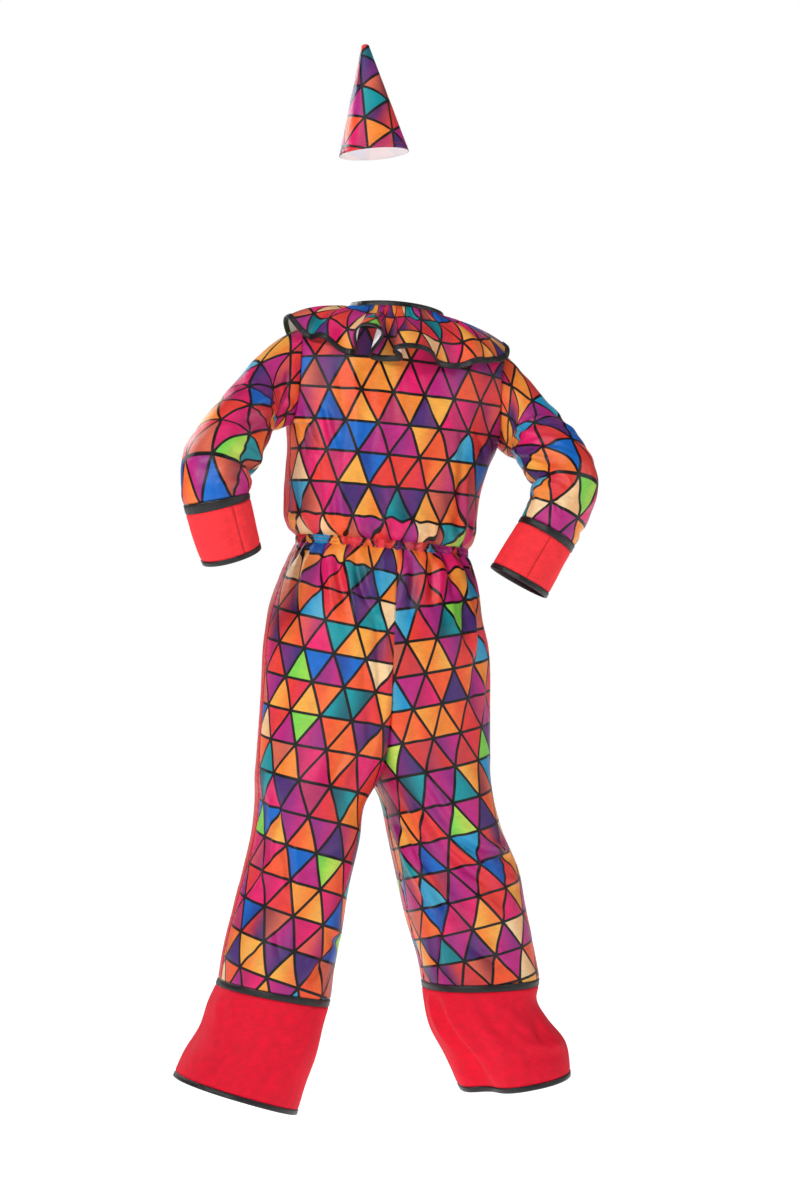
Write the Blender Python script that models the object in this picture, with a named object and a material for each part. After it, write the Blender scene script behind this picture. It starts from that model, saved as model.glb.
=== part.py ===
"""A child's clown costume in the shape that it has when it is worn, with nobody inside it.

The wearer stands with legs apart and hands on hips. The suit is one printed and red jumpsuit with a
gathered collar, cuffs and leg bands. A small pointed hat belongs to it and sits above the collar.

Metres, +Z up. +X is the wearer's left, the front faces -Y, and the origin is the middle of the neck.
Every cloth piece is a thin wall. Its outer face is worked out from the tables of sections below, and
its inner face is moved in along the cloth's own normals. Neighbours share the points of their seam, so
both walls meet the seam at the same mitre, SEAM apart.
"""

import math
from collections import namedtuple

import bpy
import numpy as np

MM = 0.001

# Cloth
CLOTH = 1.5 * MM
RUFFLE_CLOTH = 1.2 * MM
THIN_BINDING = 1.6 * MM
THIN_PROUD = 0.2 * MM
BINDING = 2.4 * MM
PROUD = 0.7 * MM
SEAM = 0.3 * MM
# Points nearer than this are one place.
PLACE_GRID = 0.02 * MM
# A wall's mitre is never longer than 1 / MITRE_LIMIT walls. Where a piece's own normal and its seam's
# have a smaller dot product than MITRE_LEAST, its edge is turned back towards its own normal.
MITRE_LIMIT = 0.65
MITRE_LEAST = 0.70
# Below 1, the ovals' corners are fuller than an ellipse's.
ROUNDNESS = 0.88

# How finely the pieces are divided
BACK_COLUMNS = 26
NECK_COLUMNS = 12
ARMHOLE_ROWS = 8
CHEST_ROWS = 5
HIP_ROWS = 4
FORK_ROWS = 4
LEG_ROWS = 6
BAND_ROWS = 3
SLEEVE_ROWS = 10
CUFF_ROWS = 2
FLANK_COLUMNS = 4
HAT_COLUMNS = 24
HAT_ROWS = 4

# Gathers: every second point of a gathered edge is pushed out, and every third one at the neck
WAIST_GATHER = 2.2 * MM
NECK_GATHER = 1.2 * MM
NECK_GATHER_COLUMNS = 3

# Heights, given as distances down from the neck
SHOULDER_DOWN = 0.026
ARMPIT_DOWN = 0.154
BLOUSE_DOWN = 0.288
WAIST_TOP = 0.301
WAIST_BOTTOM = 0.309
WAIST_FLARE = 0.316
HIP_TOP = 0.332
FORK_START = 0.480
CROTCH_DOWN = 0.617
BELOW_CROTCH = 0.630
WAIST_MIDDLE = (0.0225, 0.0, 0.0)

# The neck opening: an oval, and how high its edge stands over the shoulder points
NECK_HALF = 0.066
NECK_BACK = 0.056
NECK_FRONT = 0.062
NECK_SIDE_RISE = 0.029
NECK_BACK_RISE = 0.033
NECK_FRONT_RISE = 0.010
NECKBAND_TALL = 6 * MM
NECKBAND_LEAN = 0.25

# The armhole: an oval opening between the back and the front
ARMHOLE_BACK = 0.046
ARMHOLE_FRONT = 0.040

# The collar: its cloth leaves the neckband nearly level at the sides and more steeply at the back
RUFFLE_WIDE = 0.092
RUFFLE_BINDING_WIDE = 4.5 * MM
RUFFLE_CLEAR = 3.8 * MM
RUFFLE_UP = 3.0 * MM
RUFFLE_START = -8
RUFFLE_START_BACK = 24
RUFFLE_STEPS = 12
RUFFLE_REACHES = (0.0, 0.22, 0.48, 0.75, 1.0)

# The black strips at the upper and lower edges of the cuffs and leg bands
TOP_TRIM_TALL = 9.5 * MM
HEM_TRIM_TALL = 7.5 * MM
CUFF_TALL = 0.070
PLACKET_COLUMNS = 1
PLACKET_CLEAR = 0.4 * MM

# The bodice, from the shoulder points down to the waist. tilt is in degrees, and lifts the left side.
# back and front are the depths behind and before the side seams' plane, rises lift the row's middle,
# and yoke is how far the row has turned from an oval into the shoulder seams and the neck's edge.
Body = namedtuple("Body", "down x tilt half seam back front rise_back rise_front yoke")
BODY = (
    Body(0.026, -0.006, 5.7, 0.1415, 0.002, 0.070, 0.064, 0.030, 0.012, 1.00),
    Body(0.036, -0.003, 5.6, 0.1410, 0.003, 0.076, 0.070, 0.022, 0.008, 0.45),
    Body(0.055, 0.003, 5.4, 0.1395, 0.005, 0.085, 0.079, 0.012, 0.003, 0.10),
    Body(0.085, 0.008, 5.1, 0.1390, 0.009, 0.094, 0.087, 0.003, 0.000, 0.00),
    Body(0.120, 0.010, 4.9, 0.1400, 0.014, 0.100, 0.093, 0.000, 0.000, 0.00),
    Body(0.154, 0.010, 4.7, 0.1430, 0.019, 0.100, 0.095, 0.000, 0.000, 0.00),
    Body(0.190, 0.0165, 4.8, 0.1360, 0.018, 0.097, 0.097, 0.000, 0.000, 0.00),
    Body(0.225, 0.0220, 4.8, 0.1315, 0.016, 0.092, 0.099, 0.000, 0.000, 0.00),
    Body(0.260, 0.0235, 4.8, 0.1290, 0.013, 0.090, 0.101, 0.000, 0.000, 0.00),
    Body(0.283, 0.0245, 4.9, 0.1275, 0.010, 0.091, 0.102, 0.000, 0.000, 0.00),
    Body(0.295, 0.0240, 4.9, 0.1210, 0.008, 0.085, 0.095, 0.000, 0.000, 0.00),
    Body(0.301, 0.0225, 4.9, 0.1130, 0.008, 0.078, 0.087, 0.000, 0.000, 0.00),
)

# Each trouser leg with its hip. outer and inner are the x of the side seam and of the centre seam or
# inseam, down is the inner edge's, and lift is how much higher each metre further out is.
Leg = namedtuple("Leg", "down outer inner seam back front lift")
LEGS = {
    "left": (
        Leg(0.309, 0.1355, 0.0225, 0.008, 0.078, 0.087, 0.086),
        Leg(0.318, 0.1420, 0.0230, 0.009, 0.085, 0.092, 0.085),
        Leg(0.335, 0.1510, 0.0245, 0.010, 0.094, 0.098, 0.080),
        Leg(0.360, 0.1620, 0.0275, 0.012, 0.102, 0.103, 0.070),
        Leg(0.395, 0.1750, 0.0310, 0.014, 0.109, 0.106, 0.055),
        Leg(0.435, 0.1830, 0.0335, 0.014, 0.112, 0.106, 0.035),
        Leg(0.480, 0.1865, 0.0350, 0.014, 0.110, 0.104, 0.015),
        Leg(0.530, 0.1900, 0.0350, 0.013, 0.106, 0.100, 0.000),
        Leg(0.580, 0.1930, 0.0345, 0.011, 0.102, 0.095, 0.005),
        Leg(0.613, 0.1943, 0.0340, 0.009, 0.098, 0.091, 0.018),
        Leg(0.617, 0.1945, 0.0340, 0.009, 0.098, 0.091, 0.020),
        Leg(0.650, 0.1930, 0.0520, 0.007, 0.094, 0.088, 0.050),
        Leg(0.700, 0.1968, 0.0600, 0.004, 0.089, 0.085, 0.090),
        Leg(0.760, 0.2100, 0.0742, 0.001, 0.085, 0.083, 0.130),
        Leg(0.820, 0.2255, 0.0822, 0.000, 0.083, 0.081, 0.150),
        Leg(0.880, 0.2395, 0.0935, 0.000, 0.083, 0.080, 0.165),
        Leg(0.917, 0.2445, 0.0990, 0.000, 0.084, 0.081, 0.190),
        Leg(0.950, 0.2560, 0.1095, 0.001, 0.086, 0.083, 0.210),
        Leg(0.990, 0.2665, 0.1210, 0.002, 0.089, 0.086, 0.245),
        Leg(1.030, 0.2890, 0.1360, 0.003, 0.092, 0.089, 0.280),
        Leg(1.068, 0.3055, 0.1465, 0.004, 0.094, 0.091, 0.310),
    ),
    "right": (
        Leg(0.309, -0.0905, 0.0225, 0.008, 0.078, 0.087, -0.086),
        Leg(0.318, -0.0960, 0.0230, 0.009, 0.085, 0.092, -0.085),
        Leg(0.335, -0.1020, 0.0245, 0.010, 0.094, 0.098, -0.082),
        Leg(0.360, -0.1080, 0.0275, 0.012, 0.102, 0.103, -0.075),
        Leg(0.395, -0.1125, 0.0310, 0.014, 0.109, 0.106, -0.060),
        Leg(0.435, -0.1215, 0.0335, 0.014, 0.112, 0.106, -0.040),
        Leg(0.480, -0.1245, 0.0350, 0.014, 0.110, 0.104, -0.020),
        Leg(0.530, -0.1235, 0.0350, 0.013, 0.106, 0.100, -0.005),
        Leg(0.580, -0.1240, 0.0345, 0.011, 0.102, 0.095, 0.005),
        Leg(0.613, -0.1230, 0.0340, 0.009, 0.098, 0.091, 0.010),
        Leg(0.617, -0.1230, 0.0340, 0.009, 0.098, 0.091, 0.010),
        Leg(0.650, -0.1270, 0.0205, 0.007, 0.094, 0.088, 0.030),
        Leg(0.700, -0.1388, 0.0090, 0.004, 0.090, 0.085, 0.060),
        Leg(0.760, -0.1645, -0.0055, 0.001, 0.087, 0.083, 0.080),
        Leg(0.820, -0.1775, -0.0195, 0.000, 0.084, 0.081, 0.080),
        Leg(0.870, -0.1890, -0.0340, 0.000, 0.083, 0.080, 0.050),
        Leg(0.900, -0.1955, -0.0395, 0.000, 0.084, 0.080, 0.025),
        Leg(0.930, -0.1915, -0.0425, 0.000, 0.085, 0.082, 0.045),
        Leg(0.965, -0.2065, -0.0520, 0.001, 0.087, 0.085, 0.090),
        Leg(1.000, -0.2305, -0.0700, 0.002, 0.089, 0.088, 0.120),
        Leg(1.050, -0.2385, -0.0930, 0.003, 0.092, 0.090, 0.155),
    ),
}
BAND_TOP = {"left": 0.9155, "right": 0.8985}
HEM = {"left": 1.068, "right": 1.050}

# Each sleeve's middle line and its half widths, from the armhole's middle to the cuff's edge. wide is
# across the arm as seen from behind, and deep is the other way.
Arm = namedtuple("Arm", "along x y z wide deep")
ARMS = {
    "left": (
        Arm(0.000, 0.146, 0.010, -0.078, 0.050, 0.046),
        Arm(0.051, 0.184, 0.020, -0.098, 0.042, 0.045),
        Arm(0.122, 0.2225, 0.056, -0.1365, 0.040, 0.045),
        Arm(0.183, 0.2545, 0.096, -0.175, 0.044, 0.046),
        Arm(0.222, 0.2745, 0.122, -0.204, 0.046, 0.047),
        Arm(0.255, 0.2795, 0.130, -0.236, 0.043, 0.045),
        Arm(0.295, 0.2705, 0.128, -0.275, 0.042, 0.042),
        Arm(0.346, 0.2550, 0.120, -0.322, 0.039, 0.041),
    ),
    "right": (
        Arm(0.000, -0.138, 0.008, -0.098, 0.050, 0.046),
        Arm(0.046, -0.1615, 0.023, -0.125, 0.043, 0.045),
        Arm(0.108, -0.1820, 0.056, -0.159, 0.041, 0.045),
        Arm(0.160, -0.1970, 0.096, -0.192, 0.043, 0.046),
        Arm(0.193, -0.2020, 0.118, -0.221, 0.043, 0.047),
        Arm(0.225, -0.1940, 0.124, -0.252, 0.041, 0.045),
        Arm(0.255, -0.1800, 0.126, -0.279, 0.040, 0.042),
        Arm(0.314, -0.1495, 0.124, -0.330, 0.041, 0.041),
        Arm(0.344, -0.1350, 0.122, -0.356, 0.042, 0.041),
    ),
}
ARMHOLE_BLEND = 0.130
# A sleeve's depth is measured along this line, on which it is seen from behind.
VIEW_LINE = (0.26, 0.97, 0.0)

# The waves of the collar's edge, from the centre front round by the wearer's left. Each row is a crest
# or a trough: its angle, how many degrees below level the cloth hangs there, and how far the flank up
# to the next row is rolled over sideways.
Wave = namedtuple("Wave", "angle hang roll")
WAVES = (
    Wave(-90, 50, 0.002),
    Wave(-76, 33, 0.002),
    Wave(-62, 52, 0.003),
    Wave(-47, 30, 0.002),
    Wave(-33, 40, 0.000),
    Wave(-13, 29, 0.000),
    Wave(9, 12, 0.000),
    Wave(22, 33, 0.000),
    Wave(30, 31, 0.002),
    Wave(45, 51, 0.003),
    Wave(61, 20, 0.0115),
    Wave(69, 57, 0.0095),
    Wave(84, 36, 0.004),
    Wave(114, 56, 0.003),
    Wave(134, 40, 0.002),
    Wave(150, 34, 0.000),
    Wave(167, 25, 0.000),
    Wave(190, 10, 0.000),
    Wave(203, 24, 0.000),
    Wave(214, 36, 0.002),
    Wave(228, 30, 0.003),
    Wave(242, 52, 0.002),
    Wave(256, 33, 0.002),
    Wave(270, 50, 0.000),
)

# The hat: its hem's middle, then its size and how far it leans for each metre up
HAT_BASE = (0.0245, -0.030, 0.231)
HAT_TALL = 0.148
HAT_RADIUS = 0.048
HAT_TIP_RADIUS = 0.0055
HAT_TIP_ROUND = 0.0035
HAT_LEAN_LEFT = 0.068
HAT_LEAN_FRONT = 0.060

# The largest folds, each a soft ridge or trough: how far down (or along the sleeve) and how many turns
# round it lies, from the wearer's left on the body and from the inner line on a leg or a sleeve. long
# is its reach along the garment and wide is its reach round it, and slant turns it for each metre down.
Fold = namedtuple("Fold", "down turn long wide slant deep")
BODY_FOLDS = (
    Fold(0.205, 0.070, 0.060, 0.030, 0.35, 0.0035),
    Fold(0.235, 0.160, 0.050, 0.030, 0.10, 0.0040),
    Fold(0.245, 0.265, 0.055, 0.028, -0.05, -0.0035),
    Fold(0.235, 0.355, 0.050, 0.030, -0.10, 0.0040),
    Fold(0.215, 0.405, 0.060, 0.028, -0.35, 0.0035),
    Fold(0.130, 0.100, 0.045, 0.026, 0.60, -0.0040),
    Fold(0.140, 0.400, 0.045, 0.026, -0.60, -0.0040),
    Fold(0.230, 0.620, 0.050, 0.030, 0.10, 0.0040),
    Fold(0.240, 0.750, 0.050, 0.030, 0.00, -0.0030),
    Fold(0.225, 0.870, 0.050, 0.030, -0.10, 0.0040),
)
BODY_GIRTH = 0.11
LEG_FOLDS = {
    "left": (
        Fold(0.420, 0.20, 0.070, 0.050, 0.2, 0.0045),
        Fold(0.450, 0.38, 0.080, 0.045, 0.1, -0.0040),
        Fold(0.520, 0.12, 0.090, 0.050, 0.1, 0.0045),
        Fold(0.640, 0.30, 0.090, 0.060, -0.4, 0.0050),
        Fold(0.770, 0.18, 0.060, 0.055, 0.9, 0.0055),
        Fold(0.810, 0.33, 0.060, 0.050, -0.9, -0.0050),
        Fold(0.860, 0.22, 0.050, 0.050, 0.8, 0.0050),
        Fold(0.690, 0.68, 0.080, 0.060, 0.3, 0.0045),
        Fold(0.800, 0.80, 0.070, 0.055, -0.6, 0.0050),
        Fold(0.430, 0.74, 0.070, 0.050, 0.1, 0.0040),
        Fold(1.000, 0.15, 0.070, 0.060, 0.0, 0.0045),
        Fold(1.010, 0.34, 0.070, 0.055, 0.0, -0.0060),
        Fold(1.000, 0.62, 0.070, 0.060, 0.0, 0.0055),
        Fold(1.010, 0.85, 0.070, 0.055, 0.0, -0.0050),
    ),
    "right": (
        Fold(0.420, 0.20, 0.070, 0.050, 0.2, 0.0045),
        Fold(0.460, 0.36, 0.080, 0.045, 0.1, -0.0040),
        Fold(0.540, 0.14, 0.090, 0.050, 0.1, 0.0045),
        Fold(0.680, 0.30, 0.070, 0.060, 0.9, 0.0055),
        Fold(0.740, 0.20, 0.050, 0.055, 1.2, -0.0050),
        Fold(0.800, 0.30, 0.050, 0.050, 1.2, 0.0055),
        Fold(0.850, 0.18, 0.045, 0.050, 1.0, -0.0045),
        Fold(0.700, 0.68, 0.080, 0.060, 0.3, 0.0045),
        Fold(0.810, 0.82, 0.070, 0.055, -0.6, 0.0050),
        Fold(0.430, 0.74, 0.070, 0.050, 0.1, 0.0040),
        Fold(1.040, 0.10, 0.060, 0.035, 0.0, -0.0200),
        Fold(1.000, 0.24, 0.070, 0.060, 0.0, 0.0060),
        Fold(1.000, 0.62, 0.070, 0.060, 0.0, 0.0055),
        Fold(1.010, 0.85, 0.070, 0.055, 0.0, -0.0050),
    ),
}
LEG_GIRTH = 0.08
SLEEVE_FOLDS = {
    "left": (
        Fold(0.060, 0.20, 0.018, 0.034, 0, 0.0030),
        Fold(0.098, 0.06, 0.018, 0.034, 0, -0.0030),
        Fold(0.150, 0.12, 0.016, 0.040, 0, 0.0040),
        Fold(0.188, 0.04, 0.013, 0.045, 0, 0.0040),
        Fold(0.218, 0.00, 0.013, 0.045, 0, -0.0080),
        Fold(0.246, 0.05, 0.014, 0.045, 0, 0.0040),
        Fold(0.160, 0.34, 0.030, 0.030, 2, 0.0040),
        Fold(0.225, 0.70, 0.024, 0.040, 0, 0.0050),
    ),
    "right": (
        Fold(0.060, 0.22, 0.018, 0.034, 0, 0.0030),
        Fold(0.098, 0.08, 0.018, 0.034, 0, -0.0030),
        Fold(0.135, 0.14, 0.014, 0.040, 0, 0.0040),
        Fold(0.160, 0.06, 0.013, 0.045, 0, 0.0040),
        Fold(0.186, 0.02, 0.013, 0.045, 0, -0.0080),
        Fold(0.215, 0.08, 0.014, 0.045, 0, 0.0040),
        Fold(0.245, 0.20, 0.016, 0.040, 0, 0.0045),
        Fold(0.190, 0.70, 0.024, 0.040, 0, 0.0050),
    ),
}
SLEEVE_GIRTH = 0.045

# Colours (linear red, green, blue) and how rough each cloth is
CLOTHS = {
    "print": ((0.62, 0.06, 0.16), 0.42),
    "red": ((0.75, 0.02, 0.03), 0.50),
    "black": ((0.010, 0.010, 0.012), 0.45),
}
SHARP_ANGLE = math.radians(50)


# ---- Tables and curves ----


def read(table, key):
    """Every column of a table at the given keys, on a smooth curve through its rows."""
    rows = np.array(table, dtype=float)
    knots = rows[:, 0]
    slopes = np.gradient(rows, knots, axis=0)
    key = np.clip(np.asarray(key, dtype=float), knots[0], knots[-1])
    after = np.clip(np.searchsorted(knots, key, side="right"), 1, len(knots) - 1)
    gap = (knots[after] - knots[after - 1])[..., None]
    t = (key - knots[after - 1])[..., None] / gap
    start = rows[after - 1] * (1 + 2 * t) * (1 - t) ** 2 + slopes[after - 1] * gap * t * (1 - t) ** 2
    end = rows[after] * t * t * (3 - 2 * t) - slopes[after] * gap * t * t * (1 - t)
    return type(table[0])(*np.moveaxis(start + end, -1, 0))


def ease(t):
    """0 up to 0, 1 from 1 on, and a soft step between."""
    t = np.clip(t, 0.0, 1.0)
    return t * t * (3 - 2 * t)


def squarer(value):
    """A cosine or sine changed so that an oval's corners are fuller."""
    return np.sign(value) * np.abs(value) ** ROUNDNESS


def stack(x, y, z):
    return np.stack(np.broadcast_arrays(x, y, z), axis=-1)


def unit(vectors):
    return vectors / np.maximum(np.linalg.norm(vectors, axis=-1, keepdims=True), 1e-12)


def slope(degrees):
    return np.tan(np.radians(degrees))


def folds_at(folds, down, turn, girth):
    """How far the folds move the cloth out at each place."""
    total = np.zeros(np.broadcast(down, turn).shape)
    for fold in folds:
        below = down - fold.down
        apart = (turn - fold.turn - fold.slant * below + 0.5) % 1.0 - 0.5
        sideways = apart * 2 * math.pi * girth
        total = total + fold.deep * np.exp(-((below / fold.long) ** 2) - (sideways / fold.wide) ** 2)
    return total


def seams_calm(across):
    """0 at a panel's two side edges and 1 well inside it, so that neighbours keep one edge."""
    return ease(np.sin(math.pi * np.clip(across, 0, 1)) / 0.4)


# ---- Bodice ----


def armhole_share(down):
    """0 at the shoulder point and at the armpit and 1 half way, along an oval."""
    t = np.clip((down - SHOULDER_DOWN) / (ARMPIT_DOWN - SHOULDER_DOWN), 0.0, 1.0)
    return 2 * np.sqrt(t * (1 - t))


def yoke_row(side, across, row, edge_y):
    """The bodice's top row: a shoulder seam, the neck's edge and the other shoulder seam."""
    shoulder = 0.5 - NECK_COLUMNS / BACK_COLUMNS / 2
    run = np.clip(np.minimum(across, 1 - across) / shoulder, 0, 1)
    arc = math.pi * np.clip((across - shoulder) / (1 - 2 * shoulder), 0, 1)
    on_neck = run >= 1
    hand = np.where(across < 0.5, 1.0, -1.0)
    shoulder_x = row.x + hand * row.half
    x = np.where(on_neck, NECK_HALF * np.cos(arc), shoulder_x + (hand * NECK_HALF - shoulder_x) * run)
    depth = NECK_BACK if side > 0 else NECK_FRONT
    dip = (NECK_BACK_RISE if side > 0 else NECK_FRONT_RISE) - NECK_SIDE_RISE
    y = edge_y * (1 - run) + side * depth * np.where(on_neck, np.sin(arc), 0)
    rise = NECK_SIDE_RISE * run + dip * np.where(on_neck, np.sin(arc) ** 2, 0)
    return x, y, rise


def body(side, across, down):
    """The bodice: side is 1 at the back and -1 at the front; across runs from left to right, 0 to 1."""
    row = read(BODY, down)
    reach = ARMHOLE_BACK if side > 0 else ARMHOLE_FRONT
    edge_y = row.seam + side * reach * armhole_share(down)
    depth = side * (row.back if side > 0 else row.front)
    rise = row.rise_back if side > 0 else row.rise_front
    angle = math.pi * across
    x = row.x + row.half * squarer(np.cos(angle))
    # The armhole opens the oval at its ends only, and more softly further from its edge.
    inward = np.abs(np.sin(angle))
    opened = reach * armhole_share(down) ** (1 + 3 * inward) * (1 - inward) ** 2
    y = row.seam + (depth - row.seam) * squarer(inward) + side * opened
    z = rise * np.sin(angle) ** 2
    yoke_x, yoke_y, yoke_z = yoke_row(side, across, row, edge_y)
    yoke = np.clip(row.yoke, 0, 1)
    x, y, z = x + (yoke_x - x) * yoke, y + (yoke_y - y) * yoke, z + (yoke_z - z) * yoke
    turn = across / 2 if side > 0 else 1 - across / 2
    ends_calm = ease((WAIST_TOP - down) / 0.05) * ease((down - SHOULDER_DOWN) / 0.05)
    out = folds_at(BODY_FOLDS, down, turn, BODY_GIRTH) * ends_calm * seams_calm(across)
    x = x + out * np.cos(angle)
    y = y + side * out * np.sin(angle)
    return stack(x, y, z - down + slope(row.tilt) * (x - row.x))


# ---- Trousers ----


def trousers(side, way, across, down):
    """One trouser leg and its hip: way is 1 at the back and -1 at the front; across runs from the side
    seam, 0, to the centre seam or the inseam, 1."""
    row = read(LEGS[side], down)
    depth = way * (row.back if way > 0 else row.front)
    # The hip is a quarter of an oval, the leg is a half of one, and the fork turns one into the other.
    leg_x = (1 + squarer(np.cos(math.pi * across))) / 2
    leg_y = squarer(np.sin(math.pi * across))
    quarter = math.pi / 2 * across
    crowded = np.arccos(np.clip(leg_x, 0, 1) ** (1 / ROUNDNESS))
    crowding = ease((down - HIP_TOP) / (FORK_START - HIP_TOP))
    angle = quarter + (crowded - quarter) * crowding
    fall = np.clip((down - FORK_START) / (CROTCH_DOWN - FORK_START), 0, 1)
    fork = 1 - np.sqrt(1 - fall**2)
    share_x = squarer(np.cos(angle)) * (1 - fork) + leg_x * fork
    share_y = squarer(np.sin(angle)) * (1 - fork) + leg_y * fork
    x = row.inner + (row.outer - row.inner) * share_x
    y = row.seam + (depth - row.seam) * share_y
    turn = (1 - way * across) / 2
    top_calm = ease((down - WAIST_BOTTOM) / 0.06)
    out = folds_at(LEG_FOLDS[side], down, turn, LEG_GIRTH) * top_calm * seams_calm(across)
    middle = (row.outer + row.inner) / 2
    away = unit(stack((x - middle) / np.abs(row.outer - row.inner), y / (2 * np.abs(depth)), 0 * x))
    x, y = x + out * away[..., 0], y + out * away[..., 1]
    return stack(x, y, -down + row.lift * np.abs(x - row.inner))


# ---- Sleeves ----


def armhole(side):
    """The armhole's loop of points: the armpit, the back's edge, the shoulder point, the front's edge."""
    across = 0.0 if side == "left" else 1.0
    back = body(1, across, armhole_downs())[::-1]
    front = body(-1, across, armhole_downs())
    return np.concatenate([back, front[1:-1]])


def sleeve_ring(side, along, loop):
    """The sleeve's ring at one distance along it: the armhole's loop, then soon an oval."""
    row = read(ARMS[side], along)
    start = ARMS[side][0]
    before, after = read(ARMS[side], along - 0.004), read(ARMS[side], along + 0.004)
    centre = stack(row.x, row.y, row.z)
    way = unit(stack(after.x - before.x, after.y - before.y, after.z - before.z))
    hand = 1 if side == "left" else -1
    outer = unit(np.cross(np.array(VIEW_LINE), way)) * -hand
    rear = unit(np.cross(way, outer)) * -hand
    turn = np.arange(len(loop)) / len(loop)
    out = folds_at(SLEEVE_FOLDS[side], along, turn, SLEEVE_GIRTH)[:, None]
    spoke = stack(-np.cos(2 * math.pi * turn), np.sin(2 * math.pi * turn), 0 * turn)
    oval = spoke * (np.array([row.wide, row.deep, 0.0]) + out)
    ring = centre + oval[:, :1] * outer + oval[:, 1:2] * rear
    moved = loop + centre - stack(start.x, start.y, start.z)
    return moved + (ring - moved) * ease(along / ARMHOLE_BLEND)


# ---- Collar ----


def neck_line(angle, out, up):
    """The line round the neck's edge, moved out and up from it. Angles are from the wearer's left."""
    turned = np.radians(angle)
    back = np.sin(turned) > 0
    depth = np.where(back, NECK_BACK, NECK_FRONT)
    dip = np.where(back, NECK_BACK_RISE, NECK_FRONT_RISE) - NECK_SIDE_RISE
    x = (NECK_HALF + out) * np.cos(turned)
    y = (depth + out) * np.sin(turned)
    z = NECK_SIDE_RISE - SHOULDER_DOWN + dip * np.sin(turned) ** 2 + up
    return stack(x, y, z + slope(BODY[0].tilt) * (x - BODY[0].x))


def collar_columns():
    """The collar's columns, FLANK_COLUMNS from each crest or trough to the next: angle, hang and roll."""
    angles, hangs, rolls = [], [], []
    for this, following in zip(WAVES, WAVES[1:]):
        for t in np.arange(FLANK_COLUMNS) / FLANK_COLUMNS:
            angles.append(this.angle + (following.angle - this.angle) * t)
            hangs.append(this.hang + (following.hang - this.hang) * (1 - math.cos(math.pi * t)) / 2)
            rolls.append(this.roll * math.sin(2 * math.pi * t))
    last = WAVES[-1]
    return np.array(angles + [last.angle]), np.array(hangs + [last.hang]), np.array(rolls + [0.0])


def collar_row(share):
    """The collar's points at one share of its width from the neckband, past 1 on its binding."""
    angles, hangs, rolls = collar_columns()
    turned = np.radians(angles)
    first_hang = RUFFLE_START + RUFFLE_START_BACK * np.sin(turned) ** 2
    last_hang = 2 * hangs - first_hang
    shares = (np.arange(RUFFLE_STEPS)[:, None] + 0.5) / RUFFLE_STEPS * share
    drop = np.radians(first_hang + (last_hang - first_hang) * shares)
    flat = np.cos(drop).mean(axis=0) * share * RUFFLE_WIDE
    fall = np.sin(drop).mean(axis=0) * share * RUFFLE_WIDE
    thirds = np.cos(2 * math.pi * np.arange(len(angles)) / NECK_GATHER_COLUMNS)
    up = NECK_GATHER * thirds * ease(1 - 1.6 * share)
    sideways = rolls * share**1.5
    radial = stack(np.cos(turned), np.sin(turned), 0 * turned)
    tangent = stack(-np.sin(turned), np.cos(turned), 0 * turned)
    base = neck_line(angles, RUFFLE_CLEAR, RUFFLE_UP)
    tilted = slope(BODY[0].tilt) * np.cos(turned) * flat
    return base + radial * flat[:, None] + tangent * sideways[:, None] + stack(0, 0, up - fall + tilted)


# ---- From rows of points to solid walls ----

Piece = namedtuple("Piece", "name rows closed wall proud cloth")


def quad(a, b, c, d, other_way):
    if other_way:
        return [(a, b, d), (b, c, d)]
    return [(a, b, c), (a, c, d)]


def strip(upper, lower, parity):
    """Triangles between two rows of corners. They have as many steps, or one has twice the other's, or
    the lower one is a single point."""
    faces = []
    if len(lower) == 1:
        return [(a, lower[0], b) for a, b in zip(upper, upper[1:])]
    if len(upper) == len(lower):
        for k in range(len(upper) - 1):
            faces += quad(upper[k], lower[k], lower[k + 1], upper[k + 1], (k + parity) % 2)
        return faces
    if len(upper) > len(lower):
        for k in range(len(lower) - 1):
            a, b, c = upper[2 * k : 2 * k + 3]
            faces += [(a, lower[k], b), (b, lower[k], lower[k + 1]), (b, lower[k + 1], c)]
        return faces
    return [(face[2], face[1], face[0]) for face in strip(lower, upper, parity)]


def strips(rows, closed):
    faces, first = [], 0
    corners = []
    for row in rows:
        own = list(range(first, first + len(row)))
        corners.append(own + own[:1] if closed and len(own) > 1 else own)
        first += len(row)
    for index, (upper, lower) in enumerate(zip(corners, corners[1:])):
        faces += strip(upper, lower, index)
    return faces


def crosses(points, faces):
    corners = points[np.array(faces)]
    return np.cross(corners[:, 1] - corners[:, 0], corners[:, 2] - corners[:, 0])


def outward_faces(points, faces):
    """The faces, turned so that they look away from the middle of the piece."""
    middles = points[np.array(faces)].mean(axis=1)
    if np.sum(crosses(points, faces) * (middles - points.mean(axis=0))) < 0:
        return [face[::-1] for face in faces]
    return faces


def place(point):
    return tuple(np.round(point / PLACE_GRID).astype(int))


def shared_normals(surfaces):
    """One normal for each place, from every face that meets there, also across a seam."""
    sums = {}
    for points, faces in surfaces:
        for face, cross in zip(faces, crosses(points, faces)):
            for corner in face:
                key = place(points[corner])
                sums[key] = sums.get(key, 0) + cross
    return {key: unit(value) for key, value in sums.items()}


def mitred(own, shared):
    """The direction in which a wall's edge is thick: its seam's normal, or nearer to its own normal
    where the seam is a sharp valley."""
    lack = MITRE_LEAST - np.dot(own, shared)
    return unit(shared + own * lack * 2) if lack > 0 else shared


def border_of(faces):
    """The edges that only one face has, in that face's order."""
    edges = {(a, b) for face in faces for a, b in zip(face, face[1:] + face[:1])}
    return sorted((a, b) for a, b in edges if (b, a) not in edges)


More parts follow.
